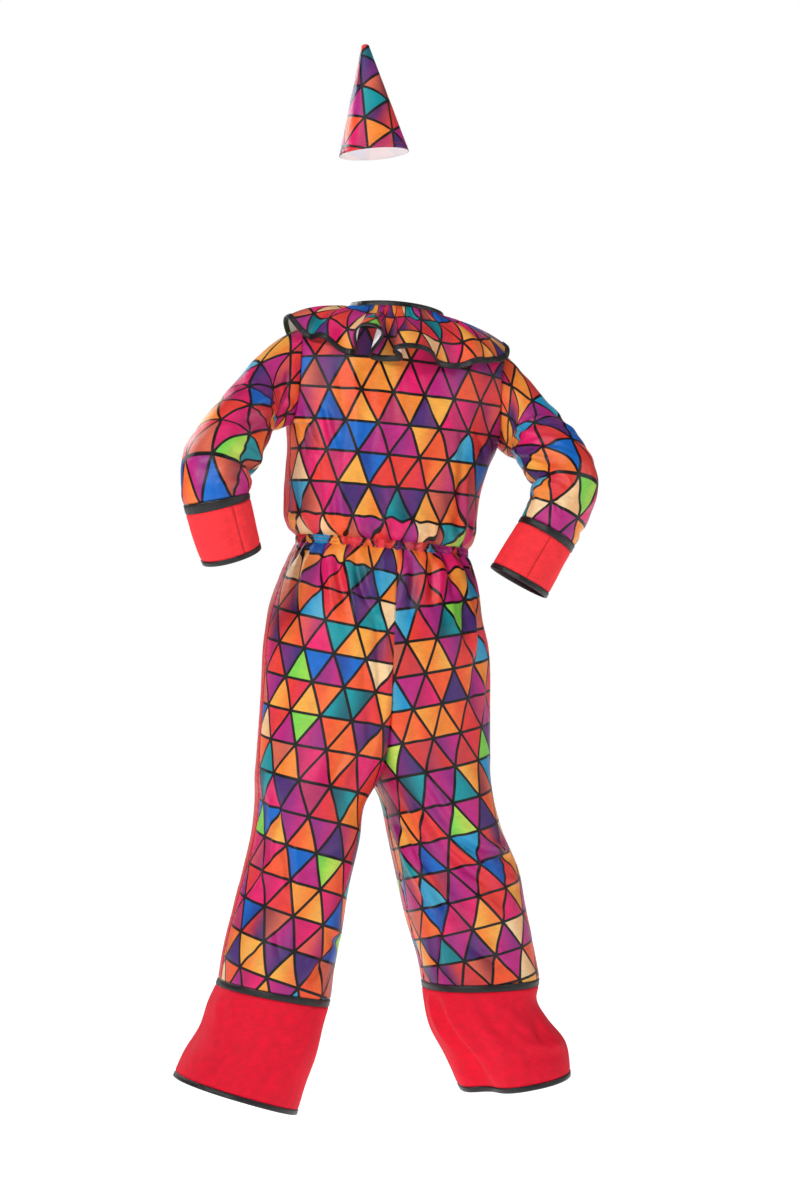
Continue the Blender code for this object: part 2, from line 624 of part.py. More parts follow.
def drawn_in(points, normals, border):
    """The points with those of the border moved half a seam into the piece."""
    ways = {}
    for a, b in border:
        for corner in (a, b):
            way = unit(np.cross(normals[corner], points[b] - points[a]))
            ways.setdefault(corner, []).append(way)
    moved = points.copy()
    for corner, (one, other) in ways.items():
        moved[corner] += SEAM / 2 * (one + other) / max(1 + np.dot(one, other), 0.4)
    return moved


def wall_mesh(points, faces, normals, wall, proud):
    """A closed wall: its outer face, its inner face and the rims between them."""
    straight = np.ones(len(points))
    for face, cross in zip(faces, unit(crosses(points, faces))):
        for corner in face:
            straight[corner] = min(straight[corner], np.dot(cross, normals[corner]))
    mitre = 1 / np.clip(straight, MITRE_LIMIT, 1.0)[:, None]
    border = border_of(faces)
    base = drawn_in(points, normals, border)
    outer = base + normals * proud * mitre
    inner = base - normals * (wall - proud) * mitre
    count = len(points)
    solid = list(faces) + [tuple(count + corner for corner in reversed(face)) for face in faces]
    for a, b in border:
        solid += [(b, a, count + a), (b, count + a, count + b)]
    return np.concatenate([outer, inner]), solid


def cloth_material(cloth):
    if cloth in bpy.data.materials:
        return bpy.data.materials[cloth]
    colour, roughness = CLOTHS[cloth]
    material = bpy.data.materials.new(cloth)
    material.use_nodes = True
    shader = material.node_tree.nodes["Principled BSDF"]
    shader.inputs["Base Color"].default_value = (*colour, 1)
    shader.inputs["Roughness"].default_value = roughness
    shader.inputs["Metallic"].default_value = 0
    return material


def add_object(name, points, faces, cloth):
    mesh = bpy.data.meshes.new(name)
    mesh.from_pydata([tuple(point) for point in points], [], faces)
    mesh.shade_smooth()
    mesh.set_sharp_from_angle(angle=SHARP_ANGLE)
    mesh.materials.append(cloth_material(cloth))
    model = bpy.data.objects.new(name, mesh)
    bpy.context.scene.collection.objects.link(model)


def sew(pieces):
    """Builds pieces that share seams, each as one closed wall."""
    surfaces = {}
    for piece in pieces:
        points = np.concatenate(piece.rows)
        surfaces[piece.name] = (points, outward_faces(points, strips(piece.rows, piece.closed)))
    normals = shared_normals(surfaces.values())
    for piece in pieces:
        points, faces = surfaces[piece.name]
        own = shared_normals([(points, faces)])
        ways = np.array([mitred(own[place(point)], normals[place(point)]) for point in points])
        add_object(piece.name, *wall_mesh(points, faces, ways, piece.wall, piece.proud), piece.cloth)


# ---- The pieces ----


def armhole_downs():
    """The heights of the rows along the armhole, closer together at its ends, as round an oval."""
    share = (1 - np.cos(math.pi * np.arange(ARMHOLE_ROWS + 1) / ARMHOLE_ROWS)) / 2
    return SHOULDER_DOWN + (ARMPIT_DOWN - SHOULDER_DOWN) * share


def gathered(row):
    """A row near the waist with every second point pushed out and the others in."""
    out = unit((row - np.array(WAIST_MIDDLE)) * np.array([1, 1, 0]))
    return row + out * WAIST_GATHER * np.where(np.arange(len(row)) % 2 == 0, 1.0, -1.0)[:, None]


def bodice_rows(side):
    """The rows of the back or the front, from the shoulders to the gathered waist."""
    columns = np.linspace(0, 1, BACK_COLUMNS + 1)
    fine = np.linspace(0, 1, 2 * BACK_COLUMNS + 1)
    chest = np.linspace(ARMPIT_DOWN, BLOUSE_DOWN, CHEST_ROWS + 1)[1:]
    rows = [body(side, columns, down) for down in np.concatenate([armhole_downs(), chest])]
    return rows + [gathered(body(side, fine, down)) for down in ((BLOUSE_DOWN + WAIST_TOP) / 2, WAIST_TOP)]


def trouser_rows(side, way):
    """The rows of one trouser panel, from the gathered waist to the leg band."""
    columns = np.linspace(0, 1, BACK_COLUMNS // 2 + 1)
    fine = np.linspace(0, 1, BACK_COLUMNS + 1)
    hips = np.linspace(HIP_TOP, FORK_START, HIP_ROWS)
    fork_angles = np.radians(np.linspace(0, 90, FORK_ROWS + 1)[1:])
    fork = FORK_START + (CROTCH_DOWN - FORK_START) * np.sin(fork_angles)
    legs = np.linspace(BELOW_CROTCH, BAND_TOP[side], LEG_ROWS)
    rows = [gathered(trousers(side, way, fine, down)) for down in (WAIST_BOTTOM, WAIST_FLARE)]
    return rows + [trousers(side, way, columns, down) for down in np.concatenate([hips, fork, legs])]


def joined(*runs):
    """Runs of points, each starting where the last one ends, as one closed loop."""
    return np.concatenate([run[:-1] for run in runs])


def casing_rows():
    """The casing round the waist, from the bodice's edge to the trousers' edge."""
    back, front = bodice_rows(1)[-1], bodice_rows(-1)[-1]
    waist = {(side, way): trouser_rows(side, way)[0] for side in LEGS for way in (1, -1)}
    low = joined(
        waist["left", 1], waist["right", 1][::-1], waist["right", -1], waist["left", -1][::-1]
    )
    return [joined(back, front[::-1]), low]


def leg_ring(side, down):
    """One closed ring round a leg: the back from the inseam to the side seam, then the front."""
    columns = np.linspace(0, 1, BACK_COLUMNS // 2 + 1)
    return joined(trousers(side, 1, columns, down)[::-1], trousers(side, -1, columns, down))


def some_columns(rows, first, last):
    """The part of each row from one share of its run to another."""
    return [row[round(first * (len(row) - 1)) : round(last * (len(row) - 1)) + 1] for row in rows]


def ring_pieces(side, stations, ring):
    """Tubes that follow each other, one for each named run of stations, black where it is a trim."""
    pieces = []
    for name, cloth, places in stations:
        rings = [ring(station) for station in places]
        trim = cloth == "black"
        wall, proud = (BINDING, PROUD) if trim else (CLOTH, 0.0)
        pieces.append(Piece(f"{name}_{side}", rings, True, wall, proud, cloth))
    return pieces


def sleeve_pieces(side):
    loop = armhole(side)
    end = ARMS[side][-1].along
    cuff = end - CUFF_TALL
    stations = (
        ("sleeve", "print", np.linspace(0, cuff - TOP_TRIM_TALL, SLEEVE_ROWS + 1)),
        ("cuff_trim_top", "black", (cuff - TOP_TRIM_TALL, cuff)),
        ("cuff", "red", np.linspace(cuff, end - HEM_TRIM_TALL, CUFF_ROWS + 1)),
        ("cuff_trim_bottom", "black", (end - HEM_TRIM_TALL, end)),
    )
    return ring_pieces(side, stations, lambda along: sleeve_ring(side, along, loop))


def band_pieces(side):
    top, hem = BAND_TOP[side], HEM[side]
    stations = (
        ("band_trim_top", "black", (top, top + TOP_TRIM_TALL)),
        ("leg_band", "red", np.linspace(top + TOP_TRIM_TALL, hem - HEM_TRIM_TALL, BAND_ROWS + 1)),
        ("band_trim_bottom", "black", (hem - HEM_TRIM_TALL, hem)),
    )
    return ring_pieces(side, stations, lambda down: leg_ring(side, down))


def neckband():
    """The binding that stands on the neck's edge, open at the centre front."""
    first = (BACK_COLUMNS - NECK_COLUMNS) // 2
    back = bodice_rows(1)[0][first : first + NECK_COLUMNS + 1]
    front = bodice_rows(-1)[0][first : first + NECK_COLUMNS + 1]
    half = NECK_COLUMNS // 2
    low = np.concatenate([front[half:], back[::-1][1:], front[1 : half + 1]])
    inward = -unit(low * np.array([1, 1, 0]))
    high = low + (inward * NECKBAND_LEAN + np.array([0, 0, 1])) * NECKBAND_TALL
    return Piece("neckband", [high, low], False, THIN_BINDING, THIN_PROUD, "black")


def bodice():
    back, front = bodice_rows(1), bodice_rows(-1)
    middle = PLACKET_COLUMNS / BACK_COLUMNS
    overlap = some_columns(front, 0.5 - middle, 0.5 + middle)
    return [
        Piece("bodice_back", back, False, CLOTH, 0, "print"),
        Piece("bodice_front_left", some_columns(front, 0, 0.5), False, CLOTH, 0, "red"),
        Piece("bodice_front_right", some_columns(front, 0.5, 1), False, CLOTH, 0, "print"),
        Piece("front_placket", overlap, False, CLOTH, CLOTH + PLACKET_CLEAR, "red"),
        Piece("waist_casing", casing_rows(), True, CLOTH, PROUD, "print"),
    ]


def jumpsuit():
    pieces = bodice() + [neckband()]
    for side, front_cloth in (("left", "red"), ("right", "print")):
        back_rows, front_rows = trouser_rows(side, 1), trouser_rows(side, -1)
        pieces.append(Piece(f"trouser_back_{side}", back_rows, False, CLOTH, 0, "print"))
        pieces.append(Piece(f"trouser_front_{side}", front_rows, False, CLOTH, 0, front_cloth))
        pieces += sleeve_pieces(side) + band_pieces(side)
    return pieces


def collar():
    rows = [collar_row(share) for share in RUFFLE_REACHES]
    binding = [rows[-1], collar_row(1 + RUFFLE_BINDING_WIDE / RUFFLE_WIDE)]
    return [
        Piece("collar_ruffle", rows, False, RUFFLE_CLOTH, 0, "print"),
        Piece("collar_binding", binding, False, THIN_BINDING, THIN_PROUD, "black"),
    ]


def hat():
    """A cone with an open hem and a small blunt tip."""
    axis = unit(np.array([HAT_LEAN_LEFT, -HAT_LEAN_FRONT, 1.0]))
    left = unit(np.cross([0.0, 1.0, 0.0], axis))
    front = np.cross(axis, left)
    turns = 2 * math.pi * np.arange(HAT_COLUMNS)[:, None] / HAT_COLUMNS
    ring = np.cos(turns) * left + np.sin(turns) * front
    rows = []
    for share in np.linspace(0, 1, HAT_ROWS + 1):
        radius = HAT_RADIUS + (HAT_TIP_RADIUS - HAT_RADIUS) * share
        rows.append(np.array(HAT_BASE) + axis * HAT_TALL * share + radius * ring)
    rows.append(np.array([HAT_BASE]) + axis * (HAT_TALL + HAT_TIP_ROUND))
    return [Piece("hat_cone", rows, True, CLOTH, 0, "print")]


def main():
    for model in list(bpy.data.objects):
        bpy.data.objects.remove(model)
    for pieces in (jumpsuit(), collar(), hat()):
        sew(pieces)


main()
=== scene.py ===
"""The looks of the clown costume: thin satin shells on the solids' form, with their folds, gathers,
print, bindings and stitches. Metres, +Z up, +X is the wearer's left and the front faces -Y.
"""

import math
from collections import namedtuple
from functools import partial

import bpy
import numpy as np
from mathutils import Matrix, Vector


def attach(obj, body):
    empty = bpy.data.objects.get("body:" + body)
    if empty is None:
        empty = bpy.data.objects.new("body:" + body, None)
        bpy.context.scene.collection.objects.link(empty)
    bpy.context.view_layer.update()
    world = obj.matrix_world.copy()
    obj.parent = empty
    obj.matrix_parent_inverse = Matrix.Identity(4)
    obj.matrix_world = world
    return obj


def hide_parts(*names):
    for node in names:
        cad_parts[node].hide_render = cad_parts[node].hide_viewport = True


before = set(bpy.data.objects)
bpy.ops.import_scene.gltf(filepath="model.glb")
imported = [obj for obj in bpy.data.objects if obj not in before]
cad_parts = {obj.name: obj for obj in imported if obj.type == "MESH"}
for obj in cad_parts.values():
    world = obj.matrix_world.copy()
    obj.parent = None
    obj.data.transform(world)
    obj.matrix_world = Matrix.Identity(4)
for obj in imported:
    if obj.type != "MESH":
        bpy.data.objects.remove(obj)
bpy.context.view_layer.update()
MM = 0.001


def named(columns, rows, parts=1):
    """A table's rows with names for their columns, or a dictionary of such tables. Their numbers are
    divided by parts."""
    if isinstance(rows, dict):
        return {key: named(columns, own, parts) for key, own in rows.items()}
    kind = namedtuple("Row", columns)
    return tuple(kind(*(value / parts for value in row)) for row in rows)


# ---- The solids' own sizes and sections, as the part's source has them ----

ROUNDNESS = 0.88
SHOULDER_DOWN = 0.026
ARMPIT_DOWN = 0.154
WAIST_TOP = 0.301
WAIST_BOTTOM = 0.309
HIP_TOP = 0.332
FORK_START = 0.480
CROTCH_DOWN = 0.617
WAIST_MIDDLE = (0.0225, 0.0, 0.0)
NECK_HALF = 0.066
NECK_BACK = 0.056
NECK_FRONT = 0.062
NECK_SIDE_RISE = 0.029
NECK_BACK_RISE = 0.033
NECK_FRONT_RISE = 0.010
NECKBAND_TALL = 6 * MM
NECKBAND_LEAN = 0.25
ARMHOLE_BACK = 0.046
ARMHOLE_FRONT = 0.040
RUFFLE_WIDE = 0.092
RUFFLE_BINDING_WIDE = 4.5 * MM
RUFFLE_CLEAR = 3.8 * MM
RUFFLE_UP = 3.0 * MM
RUFFLE_START = -8
RUFFLE_START_BACK = 24
RUFFLE_STEPS = 12
TOP_TRIM_TALL = 9.5 * MM
HEM_TRIM_TALL = 7.5 * MM
CUFF_TALL = 0.070
HAT_BASE = (0.0245, -0.030, 0.231)
HAT_TALL = 0.148
HAT_RADIUS = 0.048
HAT_TIP_RADIUS = 0.0055
HAT_LEAN_LEFT = 0.068
HAT_LEAN_FRONT = 0.060
HAT_TIP_SHARE = 0.0035 / HAT_TALL

# The bodice, from the shoulder points down to the waist. tilt is in degrees, and lifts the left side.
# back and front are the depths behind and before the side seams' plane, rises lift the row's middle,
# and yoke is how far the row has turned from an oval into the shoulder seams and the neck's edge.
BODY = named("down x tilt half seam back front rise_back rise_front yoke", (
    (0.026, -0.006, 5.7, 0.1415, 0.002, 0.070, 0.064, 0.030, 0.012, 1.00),
    (0.036, -0.003, 5.6, 0.1410, 0.003, 0.076, 0.070, 0.022, 0.008, 0.45),
    (0.055, 0.003, 5.4, 0.1395, 0.005, 0.085, 0.079, 0.012, 0.003, 0.10),
    (0.085, 0.008, 5.1, 0.1390, 0.009, 0.094, 0.087, 0.003, 0.000, 0.00),
    (0.120, 0.010, 4.9, 0.1400, 0.014, 0.100, 0.093, 0.000, 0.000, 0.00),
    (0.154, 0.010, 4.7, 0.1430, 0.019, 0.100, 0.095, 0.000, 0.000, 0.00),
    (0.190, 0.0165, 4.8, 0.1360, 0.018, 0.097, 0.097, 0.000, 0.000, 0.00),
    (0.225, 0.0220, 4.8, 0.1315, 0.016, 0.092, 0.099, 0.000, 0.000, 0.00),
    (0.260, 0.0235, 4.8, 0.1290, 0.013, 0.090, 0.101, 0.000, 0.000, 0.00),
    (0.283, 0.0245, 4.9, 0.1275, 0.010, 0.091, 0.102, 0.000, 0.000, 0.00),
    (0.295, 0.0240, 4.9, 0.1210, 0.008, 0.085, 0.095, 0.000, 0.000, 0.00),
    (0.301, 0.0225, 4.9, 0.1130, 0.008, 0.078, 0.087, 0.000, 0.000, 0.00),
))
# Each trouser leg with its hip, in millimetres. outer and inner are the x of the side seam and of the
# centre seam or inseam, down is the inner edge's, and lift is how much higher each metre further out is.
LEGS = named("down outer inner seam back front lift", {
    "left": (
        (309, 135.5, 22.5, 8, 78, 87, 86), (318, 142, 23, 9, 85, 92, 85),
        (335, 151, 24.5, 10, 94, 98, 80), (360, 162, 27.5, 12, 102, 103, 70),
        (395, 175, 31, 14, 109, 106, 55), (435, 183, 33.5, 14, 112, 106, 35),
        (480, 186.5, 35, 14, 110, 104, 15), (530, 190, 35, 13, 106, 100, 0),
        (580, 193, 34.5, 11, 102, 95, 5), (613, 194.3, 34, 9, 98, 91, 18),
        (617, 194.5, 34, 9, 98, 91, 20), (650, 193, 52, 7, 94, 88, 50), (700, 196.8, 60, 4, 89, 85, 90),
        (760, 210, 74.2, 1, 85, 83, 130), (820, 225.5, 82.2, 0, 83, 81, 150),
        (880, 239.5, 93.5, 0, 83, 80, 165), (917, 244.5, 99, 0, 84, 81, 190),
        (950, 256, 109.5, 1, 86, 83, 210), (990, 266.5, 121, 2, 89, 86, 245),
        (1030, 289, 136, 3, 92, 89, 280), (1068, 305.5, 146.5, 4, 94, 91, 310),
    ),
    "right": (
        (309, -90.5, 22.5, 8, 78, 87, -86), (318, -96, 23, 9, 85, 92, -85),
        (335, -102, 24.5, 10, 94, 98, -82), (360, -108, 27.5, 12, 102, 103, -75),
        (395, -112.5, 31, 14, 109, 106, -60), (435, -121.5, 33.5, 14, 112, 106, -40),
        (480, -124.5, 35, 14, 110, 104, -20), (530, -123.5, 35, 13, 106, 100, -5),
        (580, -124, 34.5, 11, 102, 95, 5), (613, -123, 34, 9, 98, 91, 10),
        (617, -123, 34, 9, 98, 91, 10), (650, -127, 20.5, 7, 94, 88, 30),
        (700, -138.8, 9, 4, 90, 85, 60), (760, -164.5, -5.5, 1, 87, 83, 80),
        (820, -177.5, -19.5, 0, 84, 81, 80), (870, -189, -34, 0, 83, 80, 50),
        (900, -195.5, -39.5, 0, 84, 80, 25), (930, -191.5, -42.5, 0, 85, 82, 45),
        (965, -206.5, -52, 1, 87, 85, 90), (1000, -230.5, -70, 2, 89, 88, 120),
        (1050, -238.5, -93, 3, 92, 90, 155),
    ),
}, 1000)
BAND_TOP = {"left": 0.9155, "right": 0.8985}
HEM = {"left": 1.068, "right": 1.050}
# Each sleeve's middle line and its half widths, in millimetres, from the armhole's middle to the cuff's
# edge. wide is across the arm as seen from behind, and deep is the other way.
ARMS = named("along x y z wide deep", {
    "left": (
        (0, 146, 10, -78, 50, 46), (51, 184, 20, -98, 42, 45), (122, 222.5, 56, -136.5, 40, 45),
        (183, 254.5, 96, -175, 44, 46), (222, 274.5, 122, -204, 46, 47),
        (255, 279.5, 130, -236, 43, 45), (295, 270.5, 128, -275, 42, 42), (346, 255, 120, -322, 39, 41),
    ),
    "right": (
        (0, -138, 8, -98, 50, 46), (46, -161.5, 23, -125, 43, 45), (108, -182, 56, -159, 41, 45),
        (160, -197, 96, -192, 43, 46), (193, -202, 118, -221, 43, 47), (225, -194, 124, -252, 41, 45),
        (255, -180, 126, -279, 40, 42), (314, -149.5, 124, -330, 41, 41),
        (344, -135, 122, -356, 42, 41),
    ),
}, 1000)
ARMHOLE_BLEND = 0.130
# A sleeve's depth is measured along this line, on which it is seen from behind.
VIEW_LINE = (0.26, 0.97, 0.0)
# The waves of the collar's edge, from the centre front round by the wearer's left. Each row is a crest
# or a trough: its angle, how many degrees below level the cloth hangs there, and how far the flank up
# to the next row is rolled over sideways, in metres.
WAVES = (
    (-90, 50, 0.002), (-76, 33, 0.002), (-62, 52, 0.003), (-47, 30, 0.002), (-33, 40, 0.000),
    (-13, 29, 0.000), (9, 12, 0.000), (22, 33, 0.000), (30, 31, 0.002), (45, 51, 0.003),
    (61, 20, 0.0115), (69, 57, 0.0095), (84, 36, 0.004), (114, 56, 0.003), (134, 40, 0.002),
    (150, 34, 0.000), (167, 25, 0.000), (190, 10, 0.000), (203, 24, 0.000), (214, 36, 0.002),
    (228, 30, 0.003), (242, 52, 0.002), (256, 33, 0.002), (270, 50, 0.000),
)
# The largest folds, each a soft ridge or trough: how far down (or along the sleeve) and how many turns
# round it lies, from the wearer's left on the body and from the inner line on a leg or a sleeve. long
# is its reach along the garment and wide is its reach round it, and slant turns it for each metre down.
# The numbers are millimetres and thousandths of a turn.
FOLD = "down turn long wide slant deep"
BODY_FOLDS = named(FOLD, (
    (205, 70, 60, 30, 350, 3.5), (235, 160, 50, 30, 100, 4), (245, 265, 55, 28, -50, -3.5),
    (235, 355, 50, 30, -100, 4), (215, 405, 60, 28, -350, 3.5), (130, 100, 45, 26, 600, -4),
    (140, 400, 45, 26, -600, -4), (230, 620, 50, 30, 100, 4), (240, 750, 50, 30, 0, -3),
    (225, 870, 50, 30, -100, 4),
), 1000)
BODY_GIRTH = 0.11
LEG_FOLDS = named(FOLD, {
    "left": (
        (420, 200, 70, 50, 200, 4.5), (450, 380, 80, 45, 100, -4), (520, 120, 90, 50, 100, 4.5),
        (640, 300, 90, 60, -400, 5), (770, 180, 60, 55, 900, 5.5), (810, 330, 60, 50, -900, -5),
        (860, 220, 50, 50, 800, 5), (690, 680, 80, 60, 300, 4.5), (800, 800, 70, 55, -600, 5),
        (430, 740, 70, 50, 100, 4), (1000, 150, 70, 60, 0, 4.5), (1010, 340, 70, 55, 0, -6),
        (1000, 620, 70, 60, 0, 5.5), (1010, 850, 70, 55, 0, -5),
    ),
    "right": (
        (420, 200, 70, 50, 200, 4.5), (460, 360, 80, 45, 100, -4), (540, 140, 90, 50, 100, 4.5),
        (680, 300, 70, 60, 900, 5.5), (740, 200, 50, 55, 1200, -5), (800, 300, 50, 50, 1200, 5.5),
        (850, 180, 45, 50, 1000, -4.5), (700, 680, 80, 60, 300, 4.5), (810, 820, 70, 55, -600, 5),
        (430, 740, 70, 50, 100, 4), (1040, 100, 60, 35, 0, -20), (1000, 240, 70, 60, 0, 6),
        (1000, 620, 70, 60, 0, 5.5), (1010, 850, 70, 55, 0, -5),
    ),
}, 1000)
LEG_GIRTH = 0.08
SLEEVE_FOLDS = named(FOLD, {
    "left": (
        (60, 200, 18, 34, 0, 3), (98, 60, 18, 34, 0, -3), (150, 120, 16, 40, 0, 4),
        (188, 40, 13, 45, 0, 4), (218, 0, 13, 45, 0, -8), (246, 50, 14, 45, 0, 4),
        (160, 340, 30, 30, 2000, 4), (225, 700, 24, 40, 0, 5),
    ),
    "right": (
        (60, 220, 18, 34, 0, 3), (98, 80, 18, 34, 0, -3), (135, 140, 14, 40, 0, 4),
        (160, 60, 13, 45, 0, 4), (186, 20, 13, 45, 0, -8), (215, 80, 14, 45, 0, 4),
        (245, 200, 16, 40, 0, 4.5), (190, 700, 24, 40, 0, 5),
    ),
}, 1000)
SLEEVE_GIRTH = 0.045

# ---- How the looks are built ----

# The cloth's thickness, and how finely each piece is divided
THICK = 0.8 * MM
BODICE_COLUMNS = 164
ARMHOLE_ROWS = 70
CHEST_ROWS = 60
LEG_COLUMNS = 84
HIP_ROWS = 76
FORK_ROWS = 30
LEG_ROWS = 132
CASING_ROWS = 14
COLLAR_COLUMNS = 540
COLLAR_ROWS = 32
NECKBAND_COLUMNS = 240
SLEEVE_ROWS = 120
CUFF_ROWS = 24
BAND_ROWS = 42
HAT_COLUMNS = 72
HAT_ROWS = 44
HAT_TIP_ROWS = 5
# The angles at which the collar and the neckband start and end, at the centre front
ROUND = (-90, 270)
# How much closer the collar's rows lie towards its edge, as a power
COLLAR_ROWS_POWER = 0.85
# The neck's part of the bodice's top row
NECK_SHARE = 12 / 26
# How far a sleeve's way is measured on both sides of each ring
WAY_STEP = 0.004

# Over how much of the height the largest folds fade out towards the bodice's ends and the trousers' top
BODICE_CALM = 0.05
TROUSERS_CALM = 0.06
# The same across a panel, whose width counts as half a turn: the sine at which they are full
SIDES_CALM = 0.4

# Gathers at the waist, round an oval: its half widths, the gathers' seed, count and height, and how far
# they reach on each piece
WAIST_HALF = 0.113
WAIST_DEEP = 0.082
WAIST_GATHERS = (7, 44, 5.6)
BODICE_REACH = 0.046
CASING_REACH = 0.040
TROUSERS_REACH = 0.055
# The same at the neck, and how soon they start there
NECK_GATHERS = (11, 32, 5.4)
NECK_REACH = 0.042
NECK_START = 0.004
# How uneven all gathers are: their spacing, width, growth, height, length and slant, and the power of
# their fading
GATHER_SPACING = (0.55, 1.45)
GATHER_WIDE = (0.26, 0.38)
GATHER_GROWTH = 0.6
GATHER_HIGH = (0.6, 1.35)
GATHER_LONG = (0.45, 0.7, 1.0, 1.7)
GATHER_LONG_CHANCES = (0.3, 0.3, 0.25, 0.15)
GATHER_FADE = 1.3
GATHER_DRIFT = 0.3
# A gather's mean height for its width, which is taken off so that the edge stays in its mean place
GATHER_MEAN = 1.77
# How far and how often the print waves near the waist, how far from it and with which power they fade,
# and the waves' seeds
WAVE_HIGH = 3.6 * MM
WAVE_LONG = 0.034
WAVE_REACH = 0.042
WAVE_FADE = 1.5
BODICE_WAVE_SEED = 61
TROUSERS_WAVE_SEED = 65

# How much further the collar's waves roll over than on its solid, and how they grow outwards
ROLL_MORE = 1.3
ROLL_POWER = 1.5
# How much of the neck's gathers goes outwards, with as much going up
PUFF_SHARE = 0.7
# How far the collar's seam stands up and how soon it falls, and how much taller the neckband is for it
NECK_RISE = 4.0 * MM
NECK_RISE_FAR = 13.0 * MM
NECKBAND_MORE = 8.0 * MM
# How far the collar dips beyond its gathers at the back of the neck, and where
NECK_DIP = 8.0 * MM
NECK_DIP_FAR = 22.0 * MM
# How far the collar's binding reaches over its cloth
BINDING_OVERLAP = 3.2 * MM
BINDING_MORE = 0.8 * MM
BINDING_ROUND = 1.4
# The casing's loose edges, as a share of its height, and where they begin
CASING_FRILL = 0.22
FRILL_START = 0.75
# The casing's height over the waist, its tunnel's, its edges' and its scallops', in millimetres, and
# the seed and length of the tunnel's waves and of the scallops
CASING_UP = 0.9
TUNNEL_HIGH = 1.5
TUNNEL_UNEVEN = 1.2
FRILL_HIGH = 3.0
SCALLOP_HIGH = 3.4
TUNNEL_WAVE = (5, 0.007)
SCALLOP_WAVE = (9, 0.010)
# Where the trousers' rows are smoothed at the fork, their middle and reach, how often, and how soon
# from a panel's sides
FORK_PLACE = (HIP_ROWS + FORK_ROWS, 14)
SMOOTHINGS = 60
SMOOTH_INWARD = 5
# How much of the fork's rows come closer together towards the crotch
FORK_CLOSER = 0.6

# An uneven wave mixes so many even ones, of these lengths, and is divided by their total
WAVES_MIXED = 4
WAVES_LONG = (0.7, 1.7)
WAVES_TOTAL = 2.5
# A fold's section: its crest, and the soft hollow on both sides of it, which is wider by a factor
CREST = 1.5
HOLLOW = 0.6
HOLLOW_WIDE = 2.1
# How often the folds' heights are shared with their neighbours
FOLD_SMOOTHINGS = 2
# Small ripples: half length and half width in millimetres, height, side and bow
RIPPLE_LONG = (18, 60)
RIPPLE_WIDE = (3.5, 9.0)
RIPPLE_HIGH = (0.4, 1.3)
RIPPLE_SIDES = (1.0, 1.0, -1.0)
RIPPLE_BOW = 0.7
# A sewn edge: its cloth's height beside it and how soon that is reached, its puckers' height and
# length, and how far from it the puckers and the stillness of the folds last
SEAM_HIGH = 0.8
SEAM_WIDE = 2.1 * MM
PUCKER_HIGH = 0.5
PUCKER_LONG = 9.0 * MM
PUCKER_SEED = 3
SEAM_CALM = 11.0 * MM
# Each tube's seam: its column, and its groove's depth and width in millimetres, and how far from the
# tube's ends the groove starts
TUBE_SEAM = (0, 0.7, 2.2)
CUFF_SEAMS = {"cuff_left": (24, 1.7, 1.6), "cuff_right": (38, 1.7, 1.6)}
SEAM_ENDS = 4.0 * MM
# The hat's seam, a ridge with a groove in its middle: height in millimetres and width in metres
HAT_SEAM = ((0.9, 4.0 * MM), (-1.6, 1.4 * MM))
# Where the hat's tip is closed, as a share of its round end, and how much of its top stays smooth
HAT_CLOSED = 0.97
HAT_SMOOTH = 0.15

# The overlap at the centre front: half its share of the front, and how far it stands out
PLACKET_SHARE = 1 / 26
PLACKET_OUT = 1.1 * MM

# The sections of the satin bands: the share from the band's upper line to its lower one, and how far
# out, in millimetres. The first half is the face and the second half is the reverse.
WRAPPED = ((0.0, 0.45), (0.07, 0.9), (0.3, 1.1), (0.7, 1.1), (0.93, 0.9), (1.0, 0.45),
           (1.0, -0.45), (0.93, -0.9), (0.7, -1.1), (0.3, -1.1), (0.07, -0.9), (0.0, -0.45))
FLAT_TRIM = ((0.0, 0.1), (0.05, 0.8), (0.3, 1.2), (0.7, 1.2), (0.95, 0.8), (1.0, 0.1),
             (1.0, -0.7), (0.95, -0.8), (0.7, -0.8), (0.3, -0.8), (0.05, -0.8), (0.0, -0.7))
HEM_TRIM = ((0.0, 0.2), (0.06, 0.8), (0.3, 1.2), (0.7, 1.2), (0.93, 1.0), (1.0, 0.3),
            (1.0, -0.8), (0.93, -1.4), (0.7, -1.6), (0.3, -1.6), (0.06, -1.3), (0.0, -0.8))
# Each strip: its section, what is added to its seed, and how far down it its rows of stitches run
TRIMS = {"top": (FLAT_TRIM, 0, (0.14, 0.86)), "bottom": (HEM_TRIM, 2, (0.16,))}
# Each band's unevenness in thickness, the length of its waves, and their seeds
BINDING_UNEVEN, NECKBAND_UNEVEN, TRIM_UNEVEN = 0.08, 0.10, 0.12
BAND_WAVE = 9.0 * MM
BINDING_SEED, NECKBAND_SEED = 21, 22
TRIM_SEEDS = {"cuff_left": 41, "cuff_right": 42, "leg_band_left": 51, "leg_band_right": 52}

# Stitches: their pitch, length and thickness, how far out they lie on a band and over a cloth, and
# their thickness along their length
STITCH_PITCH = 3.1 * MM
STITCH_LONG = 2.3 * MM
STITCH_THICK = 0.34 * MM
STITCH_OUT = 1.15
STITCH_OVER = 0.12 * MM
STITCH_ROUND = ((0.0, 0.25), (0.25, 1.0), (0.75, 1.0), (1.0, 0.25))
# Where the other rows of stitches run: rows or columns of the cloth, and shares down the band
CASING_STITCH_ROWS = (4, 10)
PLACKET_STITCH_COLUMNS = (1, -2)
HAT_STITCH_ROW = -3
BINDING_STITCHES = 0.15
NECKBAND_STITCHES = 0.85

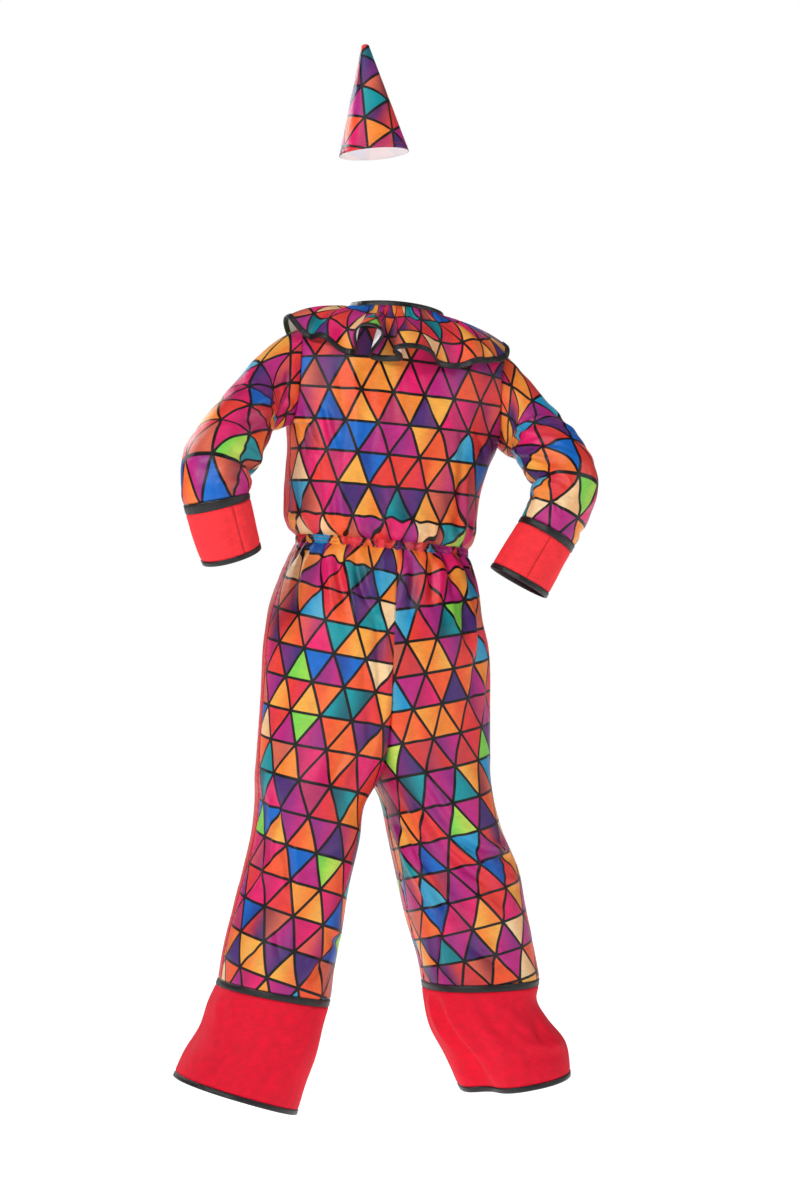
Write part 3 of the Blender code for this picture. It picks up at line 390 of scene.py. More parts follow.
# Each sheet as it was cut: its width, its length and how much of that rectangle it fills. Then how it
# is held, its look, where its print starts (in metres), and its ripples' seed and count, with their mean
# way, how far they differ from it and their height where these are not the usual ones.
Sheet = namedtuple("Sheet", "width length share held look start ripples")
START = (0.0, 0.0)
SHEETS = {node: Sheet(*row) for node, row in {
    "bodice_back": (0.37, 0.36, 0.92, "draped", "print", START, (1, 60)),
    "bodice_front_left": (0.21, 0.335, 0.90, "draped", "red", START, (2, 30)),
    "bodice_front_right": (0.21, 0.335, 0.90, "draped", "print", (0.31, 0.17), (3, 30)),
    "front_placket": (0.045, 0.30, 1.0, "laid", "red", START, (71, 5)),
    "waist_casing": (0.64, 0.018, 1.0, "gathered", "print", (0.12, 0.52), None),
    "collar_ruffle": (1.17, 0.094, 0.86, "gathered", "print", (0.07, 0.75), None),
    "sleeve_left": (0.35, 0.30, 0.82, "draped", "print", (0.2, 0.11), (4, 40, 90)),
    "sleeve_right": (0.345, 0.285, 0.82, "draped", "print", (0.51, 0.11), (5, 40, 90)),
    "cuff_left": (0.27, 0.064, 0.96, "hung", "cuff", START, (6, 12, 0, 35, 0.5)),
    "cuff_right": (0.265, 0.064, 0.96, "hung", "cuff", START, (7, 12, 0, 35, 0.5)),
    "trouser_back_left": (0.28, 0.61, 0.83, "hung", "print", (0.2, 0.29), (11, 46)),
    "trouser_back_right": (0.28, 0.60, 0.84, "hung", "print", (0.63, 0.29), (12, 46)),
    "trouser_front_left": (0.295, 0.61, 0.82, "hung", "red", (-0.2, 0.29), (9, 46)),
    "trouser_front_right": (0.29, 0.60, 0.84, "hung", "print", (0.23, 0.29), (10, 46)),
    "leg_band_left": (0.56, 0.14, 0.94, "hung", "band", START, (14, 26, 0, 35, 0.8)),
    "leg_band_right": (0.55, 0.142, 0.96, "hung", "band", START, (15, 26, 0, 35, 0.8)),
    "hat_cone": (0.30, 0.165, 0.53, "stretched", "print", (0.6, 0.4), (31, 14, 0, 60, 0.35)),
}.items()}

# The print: upright and inverted triangles in rows with black lines between them, the softness of the
# lines' edges, and the seeds of each triangle's own colours, their fading and its direction
TRIANGLE_WIDE = 0.0430
ROW_TALL = 0.0428
LINE_HALF = 0.00185
LINE_SOFT = 0.00025
CHANCE_SEEDS = (5.0, 25.0, 45.0)
# Where a seed's chances are looked up: how much further down for each step across, and at what height
CHANCE_SLANT = 0.37
CHANCE_HIGH = 7.0
# Where across a triangle its second colour starts and is full, and how strong it is by chance
FADE_ACROSS = (0.15, 0.80, 0.0, 1.0)
FADE_STRONG = (0.15, 0.60, 0.15, 1.0)
# How far the print is turned on the trousers, whose grain follows the legs, in degrees
LEG_GRAIN = 9.0
# The same on the hat, and how far the tip of its flat cut lies above the cloth
HAT_GRAIN = 30.0
HAT_TIP_FAR = 9.0 * MM

# The satin: its threads' pitches and relief, the scales of its streaks and crumples, and between which
# values its gloss varies
THREAD_DOWN = 1.1 * MM
THREAD_ACROSS = 0.9 * MM
THREAD_RELIEF = 0.035 * MM
STREAKS_ACROSS = 90.0
STREAKS_DOWN = 900.0
CRUMPLES = 75.0
GLOSS = (0.6, 1.4)
# How the colour is made lighter and darker with the gloss, a painted sheen and shade on its streaks and
# crumples, and how the roughness follows the gloss. PLAIN_ROUGH is added to each plain cloth's own.
PRINT_PAINTED_SHEEN = (0.88, 1.10)
PRINT_ROUGH = (0.28, 0.40)
PLAIN_PAINTED_SHEEN = (0.86, 1.12)
PLAIN_ROUGH = (-0.06, 0.08)
# The print's reverse: its roughness, how much of the print and of its ink shows, and its glow, painted
# light that lightens it where it lies in shade
REVERSE_ROUGH = (0.55, 0.68)
REVERSE_PRINT = 0.14
REVERSE_INK = 0.8
REVERSE_PAINTED_GLOW = 0.16
# Sewing thread: its twist's pitch and relief, the painted shade and highlight along its twist, and its
# roughness
TWIST = 0.6 * MM
TWIST_RELIEF = 0.04 * MM
TWIST_PAINTED_SHADE = (0.75, 1.2)
THREAD_ROUGH = 0.6

# All colours are as seen on a screen.
INK = (0.03, 0.025, 0.03)
REVERSE = (0.93, 0.91, 0.92)
THREAD_RED = (0.80, 0.10, 0.14)
THREAD_BLACK = (0.12, 0.11, 0.12)
# The stitches along each cuff's seam, darker than the cuff so that they draw the seam's shade as a dark
# line: painted shade
SEAM_SHADE_THREAD = (0.55, 0.04, 0.08)
# The triangles' colours: how often each pair comes, its first colour and its second one
PALETTE = (
    (11, (0.92, 0.23, 0.18), (0.88, 0.18, 0.28)),
    (7, (0.96, 0.33, 0.17), (0.97, 0.48, 0.20)),
    (10, (0.76, 0.13, 0.49), (0.58, 0.14, 0.49)),
    (8, (0.92, 0.10, 0.42), (0.74, 0.11, 0.38)),
    (6, (0.97, 0.52, 0.18), (0.98, 0.68, 0.28)),
    (4, (0.98, 0.70, 0.28), (0.95, 0.50, 0.22)),
    (3, (0.98, 0.84, 0.64), (0.96, 0.72, 0.50)),
    (7, (0.0, 0.60, 0.64), (0.07, 0.36, 0.42)),
    (5, (0.0, 0.42, 0.80), (0.10, 0.28, 0.62)),
    (2, (0.06, 0.58, 0.80), (0.30, 0.68, 0.80)),
    (6, (0.26, 0.16, 0.44), (0.46, 0.16, 0.47)),
    (2, (0.46, 0.82, 0.28), (0.78, 0.88, 0.34)),
    (4, (0.86, 0.40, 0.30), (0.60, 0.22, 0.24)),
    (5, (0.86, 0.24, 0.22), (0.32, 0.14, 0.40)),
    (4, (0.70, 0.17, 0.40), (0.93, 0.36, 0.32)),
)
# The plain cloths: name, colour, roughness, crumples' height in millimetres and specular level
PLAIN_CLOTHS = {
    "red": ("red_satin", (0.84, 0.09, 0.14), 0.36, 0.5, 0.5),
    "black": ("black_satin", (0.075, 0.07, 0.08), 0.34, 0.25, 0.5),
    "cuff": ("cuff_cloth", (0.98, 0.21, 0.24), 0.72, 0.12, 0.2),
    "band": ("band_cloth", (0.91, 0.07, 0.19), 0.68, 0.15, 0.2),
}

# The camera, in metres and degrees
TURNED = math.radians(15)
CAMERA_AWAY = 4.5
CAMERA_RIGHT = 0.0041
CAMERA_HIGH = -0.379
CAMERA_LENS = 99.24
CAMERA_SENSOR = 36.0
# The floor, and the white behind the costume: how bright it is there and elsewhere, and between which
# cosines of the angle from the view it fades
FLOOR_UP = -1.12
FLOOR_HALF = 9.0
FLOOR_COLOUR = (0.62, 0.62, 0.62)
FLOOR_ROUGH = 0.8
FLOOR_GLOW = 0.97
SKY_BEHIND = 1.0
SKY_ROUND = 0.10
SKY_FADE = (0.90, 0.968)
# The light: each lamp's place, target, size and power
LAMPS = (
    ("left_box", (2.1, 1.9, 1.2), (0.0, 0.0, -0.45), 0.7, 58.0),
    ("right_box", (-2.5, 1.1, 0.9), (0.0, 0.0, -0.45), 0.8, 20.0),
    ("top_box", (0.2, 0.6, 2.3), (0.0, 0.0, -0.3), 0.8, 8.0),
    ("front_box", (1.4, -2.9, 1.2), (0.0, 0.0, -0.4), 1.0, 42.0),
)

# The folds, listed by piece: see Crease for the columns, whose numbers are whole ones here
CREASES = {
    "bodice_back": (
        (262, 166, 20, 22, 49, 34, -3), (238, 141, 17, 18, 59, 36, 3), (223, 213, 14, 15, 48, 34, 3),
        (300, 274, 7, 29, 48, -34, -3), (269, 262, 7, 37, 49, 34, -2), (338, 274, 10, 25, 59, 41, 3),
        (354, 122, 7, 58, 78, 34, 2), (369, 149, 8, 28, 48, -31, 5), (400, 213, 19, 18, 49, 34, 3),
        (462, 247, 17, 22, 48, -34, -5), (485, 250, 13, 20, 49, 34, 3), (500, 279, 23, 20, 48, -34, -5),
        (469, 286, 3, 22, 59, 41, 2), (546, 279, 58, 25, 59, 41, -2), (546, 284, -35, 22, 48, -34, 3),
        (646, 281, 6, 19, 48, -34, -3), (623, 286, 7, 19, 59, 41, -3), (700, 210, 12, 69, 48, -34, 5),
        (654, 186, 12, 53, 59, 41, 2), (738, 237, 4, 33, 59, 41, 3), (800, 276, 41, 21, 49, 34, 3),
        (700, 284, 19, 26, 59, 41, 2), (738, 286, 17, 21, 48, -34, 2), (131, 174, 29, 23, 48, -34, 5),
        (169, 166, 26, 24, 59, 41, -3), (777, 164, 36, 32, 49, -34, -3), (731, 174, 30, 28, 59, 39, 5),
        (485, 129, 8, 64, 78, 31, -3), (569, 129, 8, 57, 88, -31, 3), (369, 286, 4, 13, 48, -34, 2),
        (392, 284, 8, 14, 49, 34, 5), (431, 286, 14, 16, 48, -34, -5), (315, 147, 7, 64, 78, -26, 5),
        (438, 164, 10, 54, 88, 26, -5), (546, 208, 10, 51, 88, 26, -3), (146, 250, 3, 38, 59, 39, 3),
    ),
    "bodice_front_left": (
        (100, 130, -24, 40, 72, -28, -5), (160, 190, -14, 46, 72, 28, -2),
        (230, 225, -8, 38, 60, -42, -5), (280, 235, -4, 40, 60, 42, -2), (330, 250, 4, 28, 48, -34, 2),
        (370, 235, 6, 44, 72, 40, 3), (420, 255, 2, 26, 60, -42, 5), (90, 250, -10, 30, 60, 42, 2),
        (50, 215, -20, 34, 60, -40, 5), (180, 265, -2, 20, 48, 34, 2), (200, 110, -30, 34, 84, 24, 2),
        (300, 150, -12, 52, 96, -22, 5), (440, 180, 3, 40, 72, 24, 3),
    ),
    "bodice_front_right": (
        (900, 135, 22, 42, 72, -28, 2), (850, 185, 18, 44, 72, 30, -3), (780, 230, 9, 36, 60, -42, -2),
        (730, 240, 5, 40, 60, 42, -5), (670, 250, -3, 30, 48, -34, -5), (630, 230, -8, 46, 72, 36, -3),
        (570, 258, -2, 24, 60, -42, 2), (930, 245, 14, 32, 60, 40, -3), (960, 205, 24, 30, 60, -42, -2),
        (820, 268, 3, 20, 48, 34, 5), (810, 105, 28, 36, 84, 26, 2), (690, 155, 10, 50, 96, -24, 5),
        (560, 175, -4, 38, 72, 22, -2),
    ),
    "sleeve_left": (
        (167, 121, 19, 54, 42, -29, 2), (156, 136, 12, 65, 42, -29, 3), (188, 31, -29, 10, 42, -29, 2),
        (125, 21, 50, 24, 42, -29, 3), (94, 123, 3, 56, 42, -29, -2), (188, 113, 16, 23, 49, 34, 3),
        (156, 17, 48, 14, 49, 34, 3), (156, 134, 18, 28, 49, 31, 2), (156, 33, 65, 12, 42, 21, 3),
        (188, 178, 34, 25, 59, 21, -3), (167, 188, 21, 31, 42, -29, -2), (156, 209, 34, 21, 42, -29, 5),
        (167, 220, -84, 12, 42, -29, -5), (94, 205, 54, 25, 68, 48, -2),
        (115, 228, -27, 10, 42, -29, 3), (177, 245, 75, 22, 42, -29, 5), (177, 240, 73, 16, 59, 34, 5),
        (146, 253, 84, 20, 59, 41, -3), (156, 259, -17, 10, 42, -29, 5), (94, 261, -58, 10, 49, 29, -2),
        (333, 105, 32, 14, 59, 21, 3), (281, 50, 32, 30, 59, 18, 3), (240, 29, -85, 11, 42, -29, 3),
        (292, 117, 27, 17, 49, -18, -5), (302, 205, 48, 16, 78, 21, 5), (281, 220, 71, 16, 68, -18, 5),
        (281, 230, 81, 23, 78, 18, -3), (302, 243, -86, 17, 68, -18, 5), (250, 0, -90, 20, 49, -21, 3),
        (271, 10, 82, 20, 59, 21, -2), (620, 45, -60, 22, 60, -29, -2), (700, 30, -40, 20, 60, 26, -5),
        (800, 50, -24, 24, 60, -26, -5), (660, 110, 40, 24, 72, 23, 2), (740, 165, 62, 26, 60, -39, 5),
        (820, 180, 70, 22, 72, 34, 2), (620, 195, 80, 24, 60, -42, -5), (550, 212, 84, 22, 72, 31, -2),
        (780, 222, 75, 20, 48, -34, -5), (600, 245, -78, 22, 60, 31, 2),
        (720, 258, -84, 24, 60, -39, -3), (500, 262, 85, 22, 60, 29, -5),
    ),
    "sleeve_right": (
        (302, 114, 66, 25, 49, 34, -2), (292, 133, 66, 25, 42, -29, 2), (479, 103, -4, 10, 49, 34, 2),
        (438, 141, 76, 15, 59, 29, -5), (479, 122, 61, 14, 42, -23, -5), (115, 0, -88, 23, 42, -29, 3),
        (135, 10, -78, 14, 49, 26, 3), (135, 112, 28, 68, 42, -29, -5), (156, 135, 6, 35, 42, -29, 2),
        (167, 105, 26, 50, 49, 29, 5), (229, 162, 53, 23, 42, -29, 3), (250, 154, 55, 19, 49, 23, -2),
        (219, 167, 52, 18, 49, 31, 3), (104, 131, 14, 69, 49, 31, -2), (135, 169, 17, 21, 42, -29, 3),
        (167, 169, 29, 16, 49, 31, -3), (208, 196, 61, 23, 59, 34, -5), (188, 204, 72, 36, 42, -29, -2),
        (219, 211, 84, 12, 49, 34, -5), (219, 221, 87, 20, 42, -29, -5), (94, 230, 27, 23, 59, 41, -5),
        (135, 217, 65, 13, 42, -29, 3), (240, 238, 47, 13, 42, -29, 3), (219, 244, 43, 14, 59, 34, -5),
        (302, 221, -46, 10, 49, 29, -3), (281, 209, 51, 11, 49, 29, 2),
        (354, 211, -62, 22, 49, -23, -2), (385, 223, -56, 18, 59, 23, 3),
        (312, 186, 76, 17, 68, 21, -2), (448, 166, 86, 19, 68, -18, -3), (600, 40, -56, 24, 60, 26, 5),
        (680, 30, -44, 20, 60, -29, -5), (800, 55, -20, 26, 60, 26, -2),
        (640, 100, 44, 24, 72, -23, -2), (760, 140, 60, 24, 60, 34, -2),
        (840, 158, 72, 22, 60, -39, -3), (660, 170, 78, 26, 72, 31, 2), (550, 186, 84, 22, 60, -39, 2),
        (780, 200, 74, 20, 60, 31, 2), (620, 222, -80, 24, 60, -42, 3), (720, 236, -82, 22, 60, 34, 2),
        (520, 246, 86, 22, 60, -31, 5),
    ),
    "cuff_left": (
        (302, 305, 7, 23, 88, 12, 3), (208, 310, 4, 20, 68, -12, 5), (600, 305, -6, 22, 84, 12, 3),
        (760, 310, 8, 20, 72, -11, -5),
    ),
    "cuff_right": (
        (281, 314, 6, 26, 78, -11, 3), (167, 325, -2, 14, 78, 11, 3), (580, 312, 6, 22, 84, -12, -2),
        (780, 318, -8, 20, 72, 11, 2),
    ),
    "leg_band_left": (
        (458, 955, -25, 30, 78, 19, 5), (375, 976, -17, 50, 137, 14, 5),
        (267, 978, -15, 47, 137, -14, 5), (175, 980, -14, 51, 118, 14, -3),
        (483, 1017, -54, 33, 68, 19, -2), (600, 965, 8, 40, 108, -19, 2),
        (700, 985, -6, 46, 120, 19, -2), (820, 960, 4, 36, 108, -17, 3),
        (920, 990, 10, 44, 120, 17, -2),
    ),
    "leg_band_right": (
        (85, 978, -3, 72, 135, -90, 3), (138, 975, -2, 70, 95, 61, -2), (225, 954, 5, 47, 97, -44, -5),
        (267, 938, 20, 34, 88, 32, 2), (333, 974, -32, 29, 97, -68, 3), (317, 995, 79, 38, 88, 44, -2),
        (258, 1006, -87, 45, 97, -24, -5), (42, 960, -2, 45, 88, 32, 2), (600, 950, -8, 40, 108, 32, 3),
        (700, 975, 6, 44, 120, -32, 3), (800, 945, -4, 38, 108, 28, 5), (920, 970, 8, 42, 120, -28, -3),
    ),
    "trouser_back_left": (
        (850, 396, 22, 22, 74, 52, -5), (817, 396, 19, 25, 74, -52, 5), (867, 393, 20, 20, 74, -43, 5),
        (733, 475, 5, 71, 74, -52, -2), (817, 473, 3, 66, 74, 52, 2), (633, 475, -2, 22, 74, -43, -2),
        (600, 466, -1, 39, 74, 31, 5), (683, 541, 8, 32, 74, -52, -2), (733, 555, 5, 25, 74, 43, 3),
        (533, 592, -22, 23, 74, -52, 5), (567, 592, -14, 19, 74, 43, -2),
        (600, 618, -6, 34, 74, -34, 5), (333, 361, 14, 34, 74, 43, 2), (450, 358, 17, 36, 74, -48, -5),
        (567, 363, 17, 48, 74, 52, 3), (633, 353, 20, 36, 74, -52, -5), (717, 363, 18, 49, 74, 52, 5),
        (767, 353, 20, 38, 74, -52, -5), (817, 351, 22, 42, 74, 48, -2),
        (367, 749, 17, 38, 74, -52, -2), (250, 723, 9, 25, 74, 48, 5), (417, 747, 17, 39, 74, 48, 2),
        (217, 672, 2, 15, 74, -52, -2), (167, 667, 4, 18, 74, 38, 3), (217, 752, 13, 18, 74, 36, 3),
        (633, 880, -26, 20, 74, -52, -2), (583, 873, -12, 20, 74, 43, -3),
        (767, 836, 71, 25, 74, -48, -2), (467, 810, 29, 23, 74, 31, -3),
        (400, 843, 22, 25, 74, -34, -2), (383, 492, -1, 68, 97, 24, -2), (233, 513, -3, 61, 88, -24, 3),
        (183, 775, -10, 26, 74, 29, -2), (250, 859, 36, 22, 74, -34, -2),
        (517, 667, -16, 24, 74, 29, 2), (550, 728, -27, 18, 74, -38, -5),
    ),
    "trouser_front_left": (
        (220, 380, 8, 42, 74, -52, -5), (300, 360, 12, 36, 74, 48, 3), (450, 375, 15, 44, 74, -52, 5),
        (580, 365, 18, 40, 74, 52, 5), (700, 380, 20, 34, 74, -52, -3), (820, 370, 22, 38, 74, 48, -2),
        (800, 470, -40, 34, 74, -52, 3), (720, 490, -44, 36, 84, 53, -3),
        (850, 510, -34, 26, 74, -52, 5), (600, 640, 8, 36, 74, 38, -2),
        (400, 690, -52, 30, 74, -52, -3), (520, 715, -46, 34, 84, 53, -2),
        (350, 740, -60, 28, 74, -48, -3), (620, 750, -38, 30, 74, 43, 5),
        (450, 820, -30, 32, 74, -52, 2), (300, 850, -18, 34, 74, 38, 5), (660, 870, 28, 26, 74, -48, 5),
        (500, 560, 4, 60, 108, -29, -5),
    ),
    "trouser_back_right": (
        (967, 357, 11, 37, 74, 48, -5), (1000, 352, 13, 35, 74, -43, 3), (917, 355, 9, 35, 74, -52, -2),
        (850, 359, 10, 41, 74, 52, -2), (783, 350, 8, 31, 74, -52, 5), (717, 355, 12, 35, 74, 48, -3),
        (617, 352, 5, 32, 74, -52, 2), (450, 402, 0, 33, 74, -52, -3), (583, 391, 9, 23, 74, 43, -5),
        (283, 418, 8, 31, 74, -52, -2), (367, 414, 9, 33, 74, 38, 5), (333, 487, -3, 33, 74, -43, 5),
        (250, 512, 3, 32, 74, 34, -3), (583, 664, -25, 43, 74, -52, 3), (533, 655, -27, 41, 74, 52, 2),
        (617, 691, -25, 48, 74, -52, -2), (717, 675, -22, 35, 74, 52, -3),
        (850, 703, -25, 23, 74, -52, -5), (683, 780, -24, 80, 74, -52, -5),
        (800, 769, -27, 57, 74, 43, 3), (500, 728, -47, 28, 74, 52, -3),
        (433, 732, -44, 51, 74, -52, -2), (333, 735, -76, 27, 74, -52, 3),
        (300, 723, -62, 32, 74, 52, -3), (467, 771, -32, 49, 74, -52, -2),
        (433, 755, -36, 33, 74, 52, -2), (333, 760, -49, 27, 74, 52, 5),
        (700, 785, -19, 24, 74, -52, -5), (650, 782, -19, 18, 74, 48, 3),
        (467, 796, -41, 21, 74, 48, -2), (600, 823, -15, 20, 74, 43, 3),
        (567, 821, -15, 20, 74, -38, -3), (533, 860, -37, 20, 74, -52, 2),
        (483, 855, -41, 19, 74, 38, -2), (467, 876, -49, 11, 74, -43, 3),
        (800, 844, 6, 37, 74, -52, -2), (733, 844, 3, 31, 74, 43, 2), (633, 553, -11, 48, 78, 29, -2),
        (517, 539, -12, 48, 78, -29, 5), (750, 559, -13, 56, 74, 29, 2),
        (550, 619, -14, 36, 74, -34, -2),
    ),
    "trouser_front_right": (
        (180, 375, 6, 40, 74, 48, 2), (320, 370, 10, 38, 74, -52, 3), (440, 360, 12, 40, 74, 52, 2),
        (570, 380, 16, 44, 74, -52, -5), (690, 365, 18, 38, 74, 52, 2), (800, 385, 22, 36, 74, -52, -3),
        (780, 480, -38, 36, 74, -52, -3), (700, 505, -46, 34, 84, 48, -5),
        (880, 500, -30, 24, 74, -48, 2), (550, 610, -6, 40, 84, 34, 3), (450, 675, -48, 32, 74, -52, 3),
        (560, 700, -42, 36, 84, 58, 2), (380, 725, -56, 26, 74, -52, 3), (660, 740, -30, 30, 74, 48, 5),
        (500, 790, -36, 34, 74, -52, -3), (340, 830, -22, 32, 74, 43, -5),
        (620, 850, 18, 28, 74, -43, 5), (460, 545, -4, 58, 108, -29, 2),
    ),
}


# ---- The solids' curves ----


def read(table, key):
    """Every column of a table at the given keys, on a smooth curve through its rows."""
    rows = np.array(table, dtype=float)
    knots = rows[:, 0]
    slopes = np.gradient(rows, knots, axis=0)
    key = np.clip(np.asarray(key, dtype=float), knots[0], knots[-1])
    after = np.clip(np.searchsorted(knots, key, side="right"), 1, len(knots) - 1)
    gap = (knots[after] - knots[after - 1])[..., None]
    t = (key - knots[after - 1])[..., None] / gap
    start = rows[after - 1] * (1 + 2 * t) * (1 - t) ** 2 + slopes[after - 1] * gap * t * (1 - t) ** 2
    end = rows[after] * t * t * (3 - 2 * t) - slopes[after] * gap * t * t * (1 - t)
    return type(table[0])(*np.moveaxis(start + end, -1, 0))


def ease(t):
    """0 up to 0, 1 from 1 on, and a soft step between."""
    t = np.clip(t, 0.0, 1.0)
    return t * t * (3 - 2 * t)


def squarer(value):
    """A cosine or sine changed so that an oval's corners are fuller."""
    return np.sign(value) * np.abs(value) ** ROUNDNESS


def stack(x, y, z):
    """Points or vectors from their coordinates."""
    return np.stack(np.broadcast_arrays(x, y, z), axis=-1)


def unit(vectors):
    """Vectors of length 1 the same way."""
    return vectors / np.maximum(np.linalg.norm(vectors, axis=-1, keepdims=True), 1e-12)


def slope(degrees):
    """The rise for each metre of a slope in degrees."""
    return np.tan(np.radians(degrees))


def folds_at(folds, down, turn, girth):
    """How far the folds move the cloth out at each place."""
    total = np.zeros(np.broadcast(down, turn).shape)
    for fold in folds:
        below = down - fold.down
        apart = (turn - fold.turn - fold.slant * below + 0.5) % 1.0 - 0.5
        sideways = apart * 2 * math.pi * girth
        total = total + fold.deep * np.exp(-((below / fold.long) ** 2) - (sideways / fold.wide) ** 2)
    return total


def seams_calm(across):
    """0 at a panel's two side edges and 1 well inside it, so that neighbours keep one edge."""
    return ease(np.sin(math.pi * np.clip(across, 0, 1)) / SIDES_CALM)


def armhole_share(down):
    """0 at the shoulder point and at the armpit and 1 half way, along an oval."""
    t = np.clip((down - SHOULDER_DOWN) / (ARMPIT_DOWN - SHOULDER_DOWN), 0.0, 1.0)
    return 2 * np.sqrt(t * (1 - t))


def yoke_row(side, across, row, edge_y):
    """The bodice's top row: a shoulder seam, the neck's edge and the other shoulder seam."""
    shoulder = 0.5 - NECK_SHARE / 2
    run = np.clip(np.minimum(across, 1 - across) / shoulder, 0, 1)
    arc = math.pi * np.clip((across - shoulder) / (1 - 2 * shoulder), 0, 1)
    on_neck = run >= 1
    hand = np.where(across < 0.5, 1.0, -1.0)
    shoulder_x = row.x + hand * row.half
    x = np.where(on_neck, NECK_HALF * np.cos(arc), shoulder_x + (hand * NECK_HALF - shoulder_x) * run)
    depth = NECK_BACK if side > 0 else NECK_FRONT
    dip = (NECK_BACK_RISE if side > 0 else NECK_FRONT_RISE) - NECK_SIDE_RISE
    y = edge_y * (1 - run) + side * depth * np.where(on_neck, np.sin(arc), 0)
    rise = NECK_SIDE_RISE * run + dip * np.where(on_neck, np.sin(arc) ** 2, 0)
    return x, y, rise


def body(side, across, down):
    """The bodice: side is 1 at the back and -1 at the front; across runs from left to right, 0 to 1."""
    row = read(BODY, down)
    reach = ARMHOLE_BACK if side > 0 else ARMHOLE_FRONT
    edge_y = row.seam + side * reach * armhole_share(down)
    depth = side * (row.back if side > 0 else row.front)
    rise = row.rise_back if side > 0 else row.rise_front
    angle = math.pi * across
    x = row.x + row.half * squarer(np.cos(angle))
    # The armhole opens the oval at its ends only, and more softly further from its edge.
    inward = np.abs(np.sin(angle))
    opened = reach * armhole_share(down) ** (1 + 3 * inward) * (1 - inward) ** 2
    y = row.seam + (depth - row.seam) * squarer(inward) + side * opened
    z = rise * np.sin(angle) ** 2
    yoke_x, yoke_y, yoke_z = yoke_row(side, across, row, edge_y)
    yoke = np.clip(row.yoke, 0, 1)
    x, y, z = x + (yoke_x - x) * yoke, y + (yoke_y - y) * yoke, z + (yoke_z - z) * yoke
    turn = across / 2 if side > 0 else 1 - across / 2
    ends_calm = ease((WAIST_TOP - down) / BODICE_CALM) * ease((down - SHOULDER_DOWN) / BODICE_CALM)
    out = folds_at(BODY_FOLDS, down, turn, BODY_GIRTH) * ends_calm * seams_calm(across)
    x = x + out * np.cos(angle)
    y = y + side * out * np.sin(angle)
    return stack(x, y, z - down + slope(row.tilt) * (x - row.x))


def trousers(side, way, across, down):
    """One trouser leg and its hip: way is 1 at the back and -1 at the front; across runs from the side
    seam, 0, to the centre seam or the inseam, 1."""
    row = read(LEGS[side], down)
    depth = way * (row.back if way > 0 else row.front)
    # The hip is a quarter of an oval, the leg is a half of one, and the fork turns one into the other.
    leg_x = (1 + squarer(np.cos(math.pi * across))) / 2
    leg_y = squarer(np.sin(math.pi * across))
    quarter = math.pi / 2 * across
    crowded = np.arccos(np.clip(leg_x, 0, 1) ** (1 / ROUNDNESS))
    crowding = ease((down - HIP_TOP) / (FORK_START - HIP_TOP))
    angle = quarter + (crowded - quarter) * crowding
    fall = np.clip((down - FORK_START) / (CROTCH_DOWN - FORK_START), 0, 1)
    fork = 1 - np.sqrt(1 - fall**2)
    share_x = squarer(np.cos(angle)) * (1 - fork) + leg_x * fork
    share_y = squarer(np.sin(angle)) * (1 - fork) + leg_y * fork
    x = row.inner + (row.outer - row.inner) * share_x
    y = row.seam + (depth - row.seam) * share_y
    turn = (1 - way * across) / 2
    top_calm = ease((down - WAIST_BOTTOM) / TROUSERS_CALM)
    out = folds_at(LEG_FOLDS[side], down, turn, LEG_GIRTH) * top_calm * seams_calm(across)
    middle = (row.outer + row.inner) / 2
    away = unit(stack((x - middle) / np.abs(row.outer - row.inner), y / (2 * np.abs(depth)), 0 * x))
    x, y = x + out * away[..., 0], y + out * away[..., 1]
    return stack(x, y, -down + row.lift * np.abs(x - row.inner))


def armhole(side):
    """The armhole's loop of points: the armpit, the back's edge, the shoulder point, the front's edge."""
    across = 0.0 if side == "left" else 1.0
    back = body(1, across, armhole_downs())[::-1]
    front = body(-1, across, armhole_downs())
    return np.concatenate([back, front[1:-1]])


def sleeve_ring(side, loop, along):
    """The sleeve's ring at one distance along it: the armhole's loop, then soon an oval."""
    row = read(ARMS[side], along)
    start = ARMS[side][0]
    before, after = read(ARMS[side], along - WAY_STEP), read(ARMS[side], along + WAY_STEP)
    centre = stack(row.x, row.y, row.z)
    way = unit(stack(after.x - before.x, after.y - before.y, after.z - before.z))
    hand = 1 if side == "left" else -1
    outer = unit(np.cross(np.array(VIEW_LINE), way)) * -hand
    rear = unit(np.cross(way, outer)) * -hand
    turn = np.arange(len(loop)) / len(loop)
    out = folds_at(SLEEVE_FOLDS[side], along, turn, SLEEVE_GIRTH)[:, None]
    spoke = stack(-np.cos(2 * math.pi * turn), np.sin(2 * math.pi * turn), 0 * turn)
    oval = spoke * (np.array([row.wide, row.deep, 0.0]) + out)
    ring = centre + oval[:, :1] * outer + oval[:, 1:2] * rear
    moved = loop + centre - stack(start.x, start.y, start.z)
    return moved + (ring - moved) * ease(along / ARMHOLE_BLEND)


def neck_line(angle, out, up):
    """The line round the neck's edge, moved out and up from it. Angles are from the wearer's left."""
    turned = np.radians(angle)
    back = np.sin(turned) > 0
    depth = np.where(back, NECK_BACK, NECK_FRONT)
    dip = np.where(back, NECK_BACK_RISE, NECK_FRONT_RISE) - NECK_SIDE_RISE
    x = (NECK_HALF + out) * np.cos(turned)
    y = (depth + out) * np.sin(turned)
    z = NECK_SIDE_RISE - SHOULDER_DOWN + dip * np.sin(turned) ** 2 + up
    return stack(x, y, z + slope(BODY[0].tilt) * (x - BODY[0].x))


# ---- Sheets of cloth ----

# A grid of cloth: its points and its flat cut's coordinates, both by row and column. A closed grid's
# rows are rings, and its flat coordinates have one more column, which is the first one again.
Cloth = namedtuple("Cloth", "points flat closed")


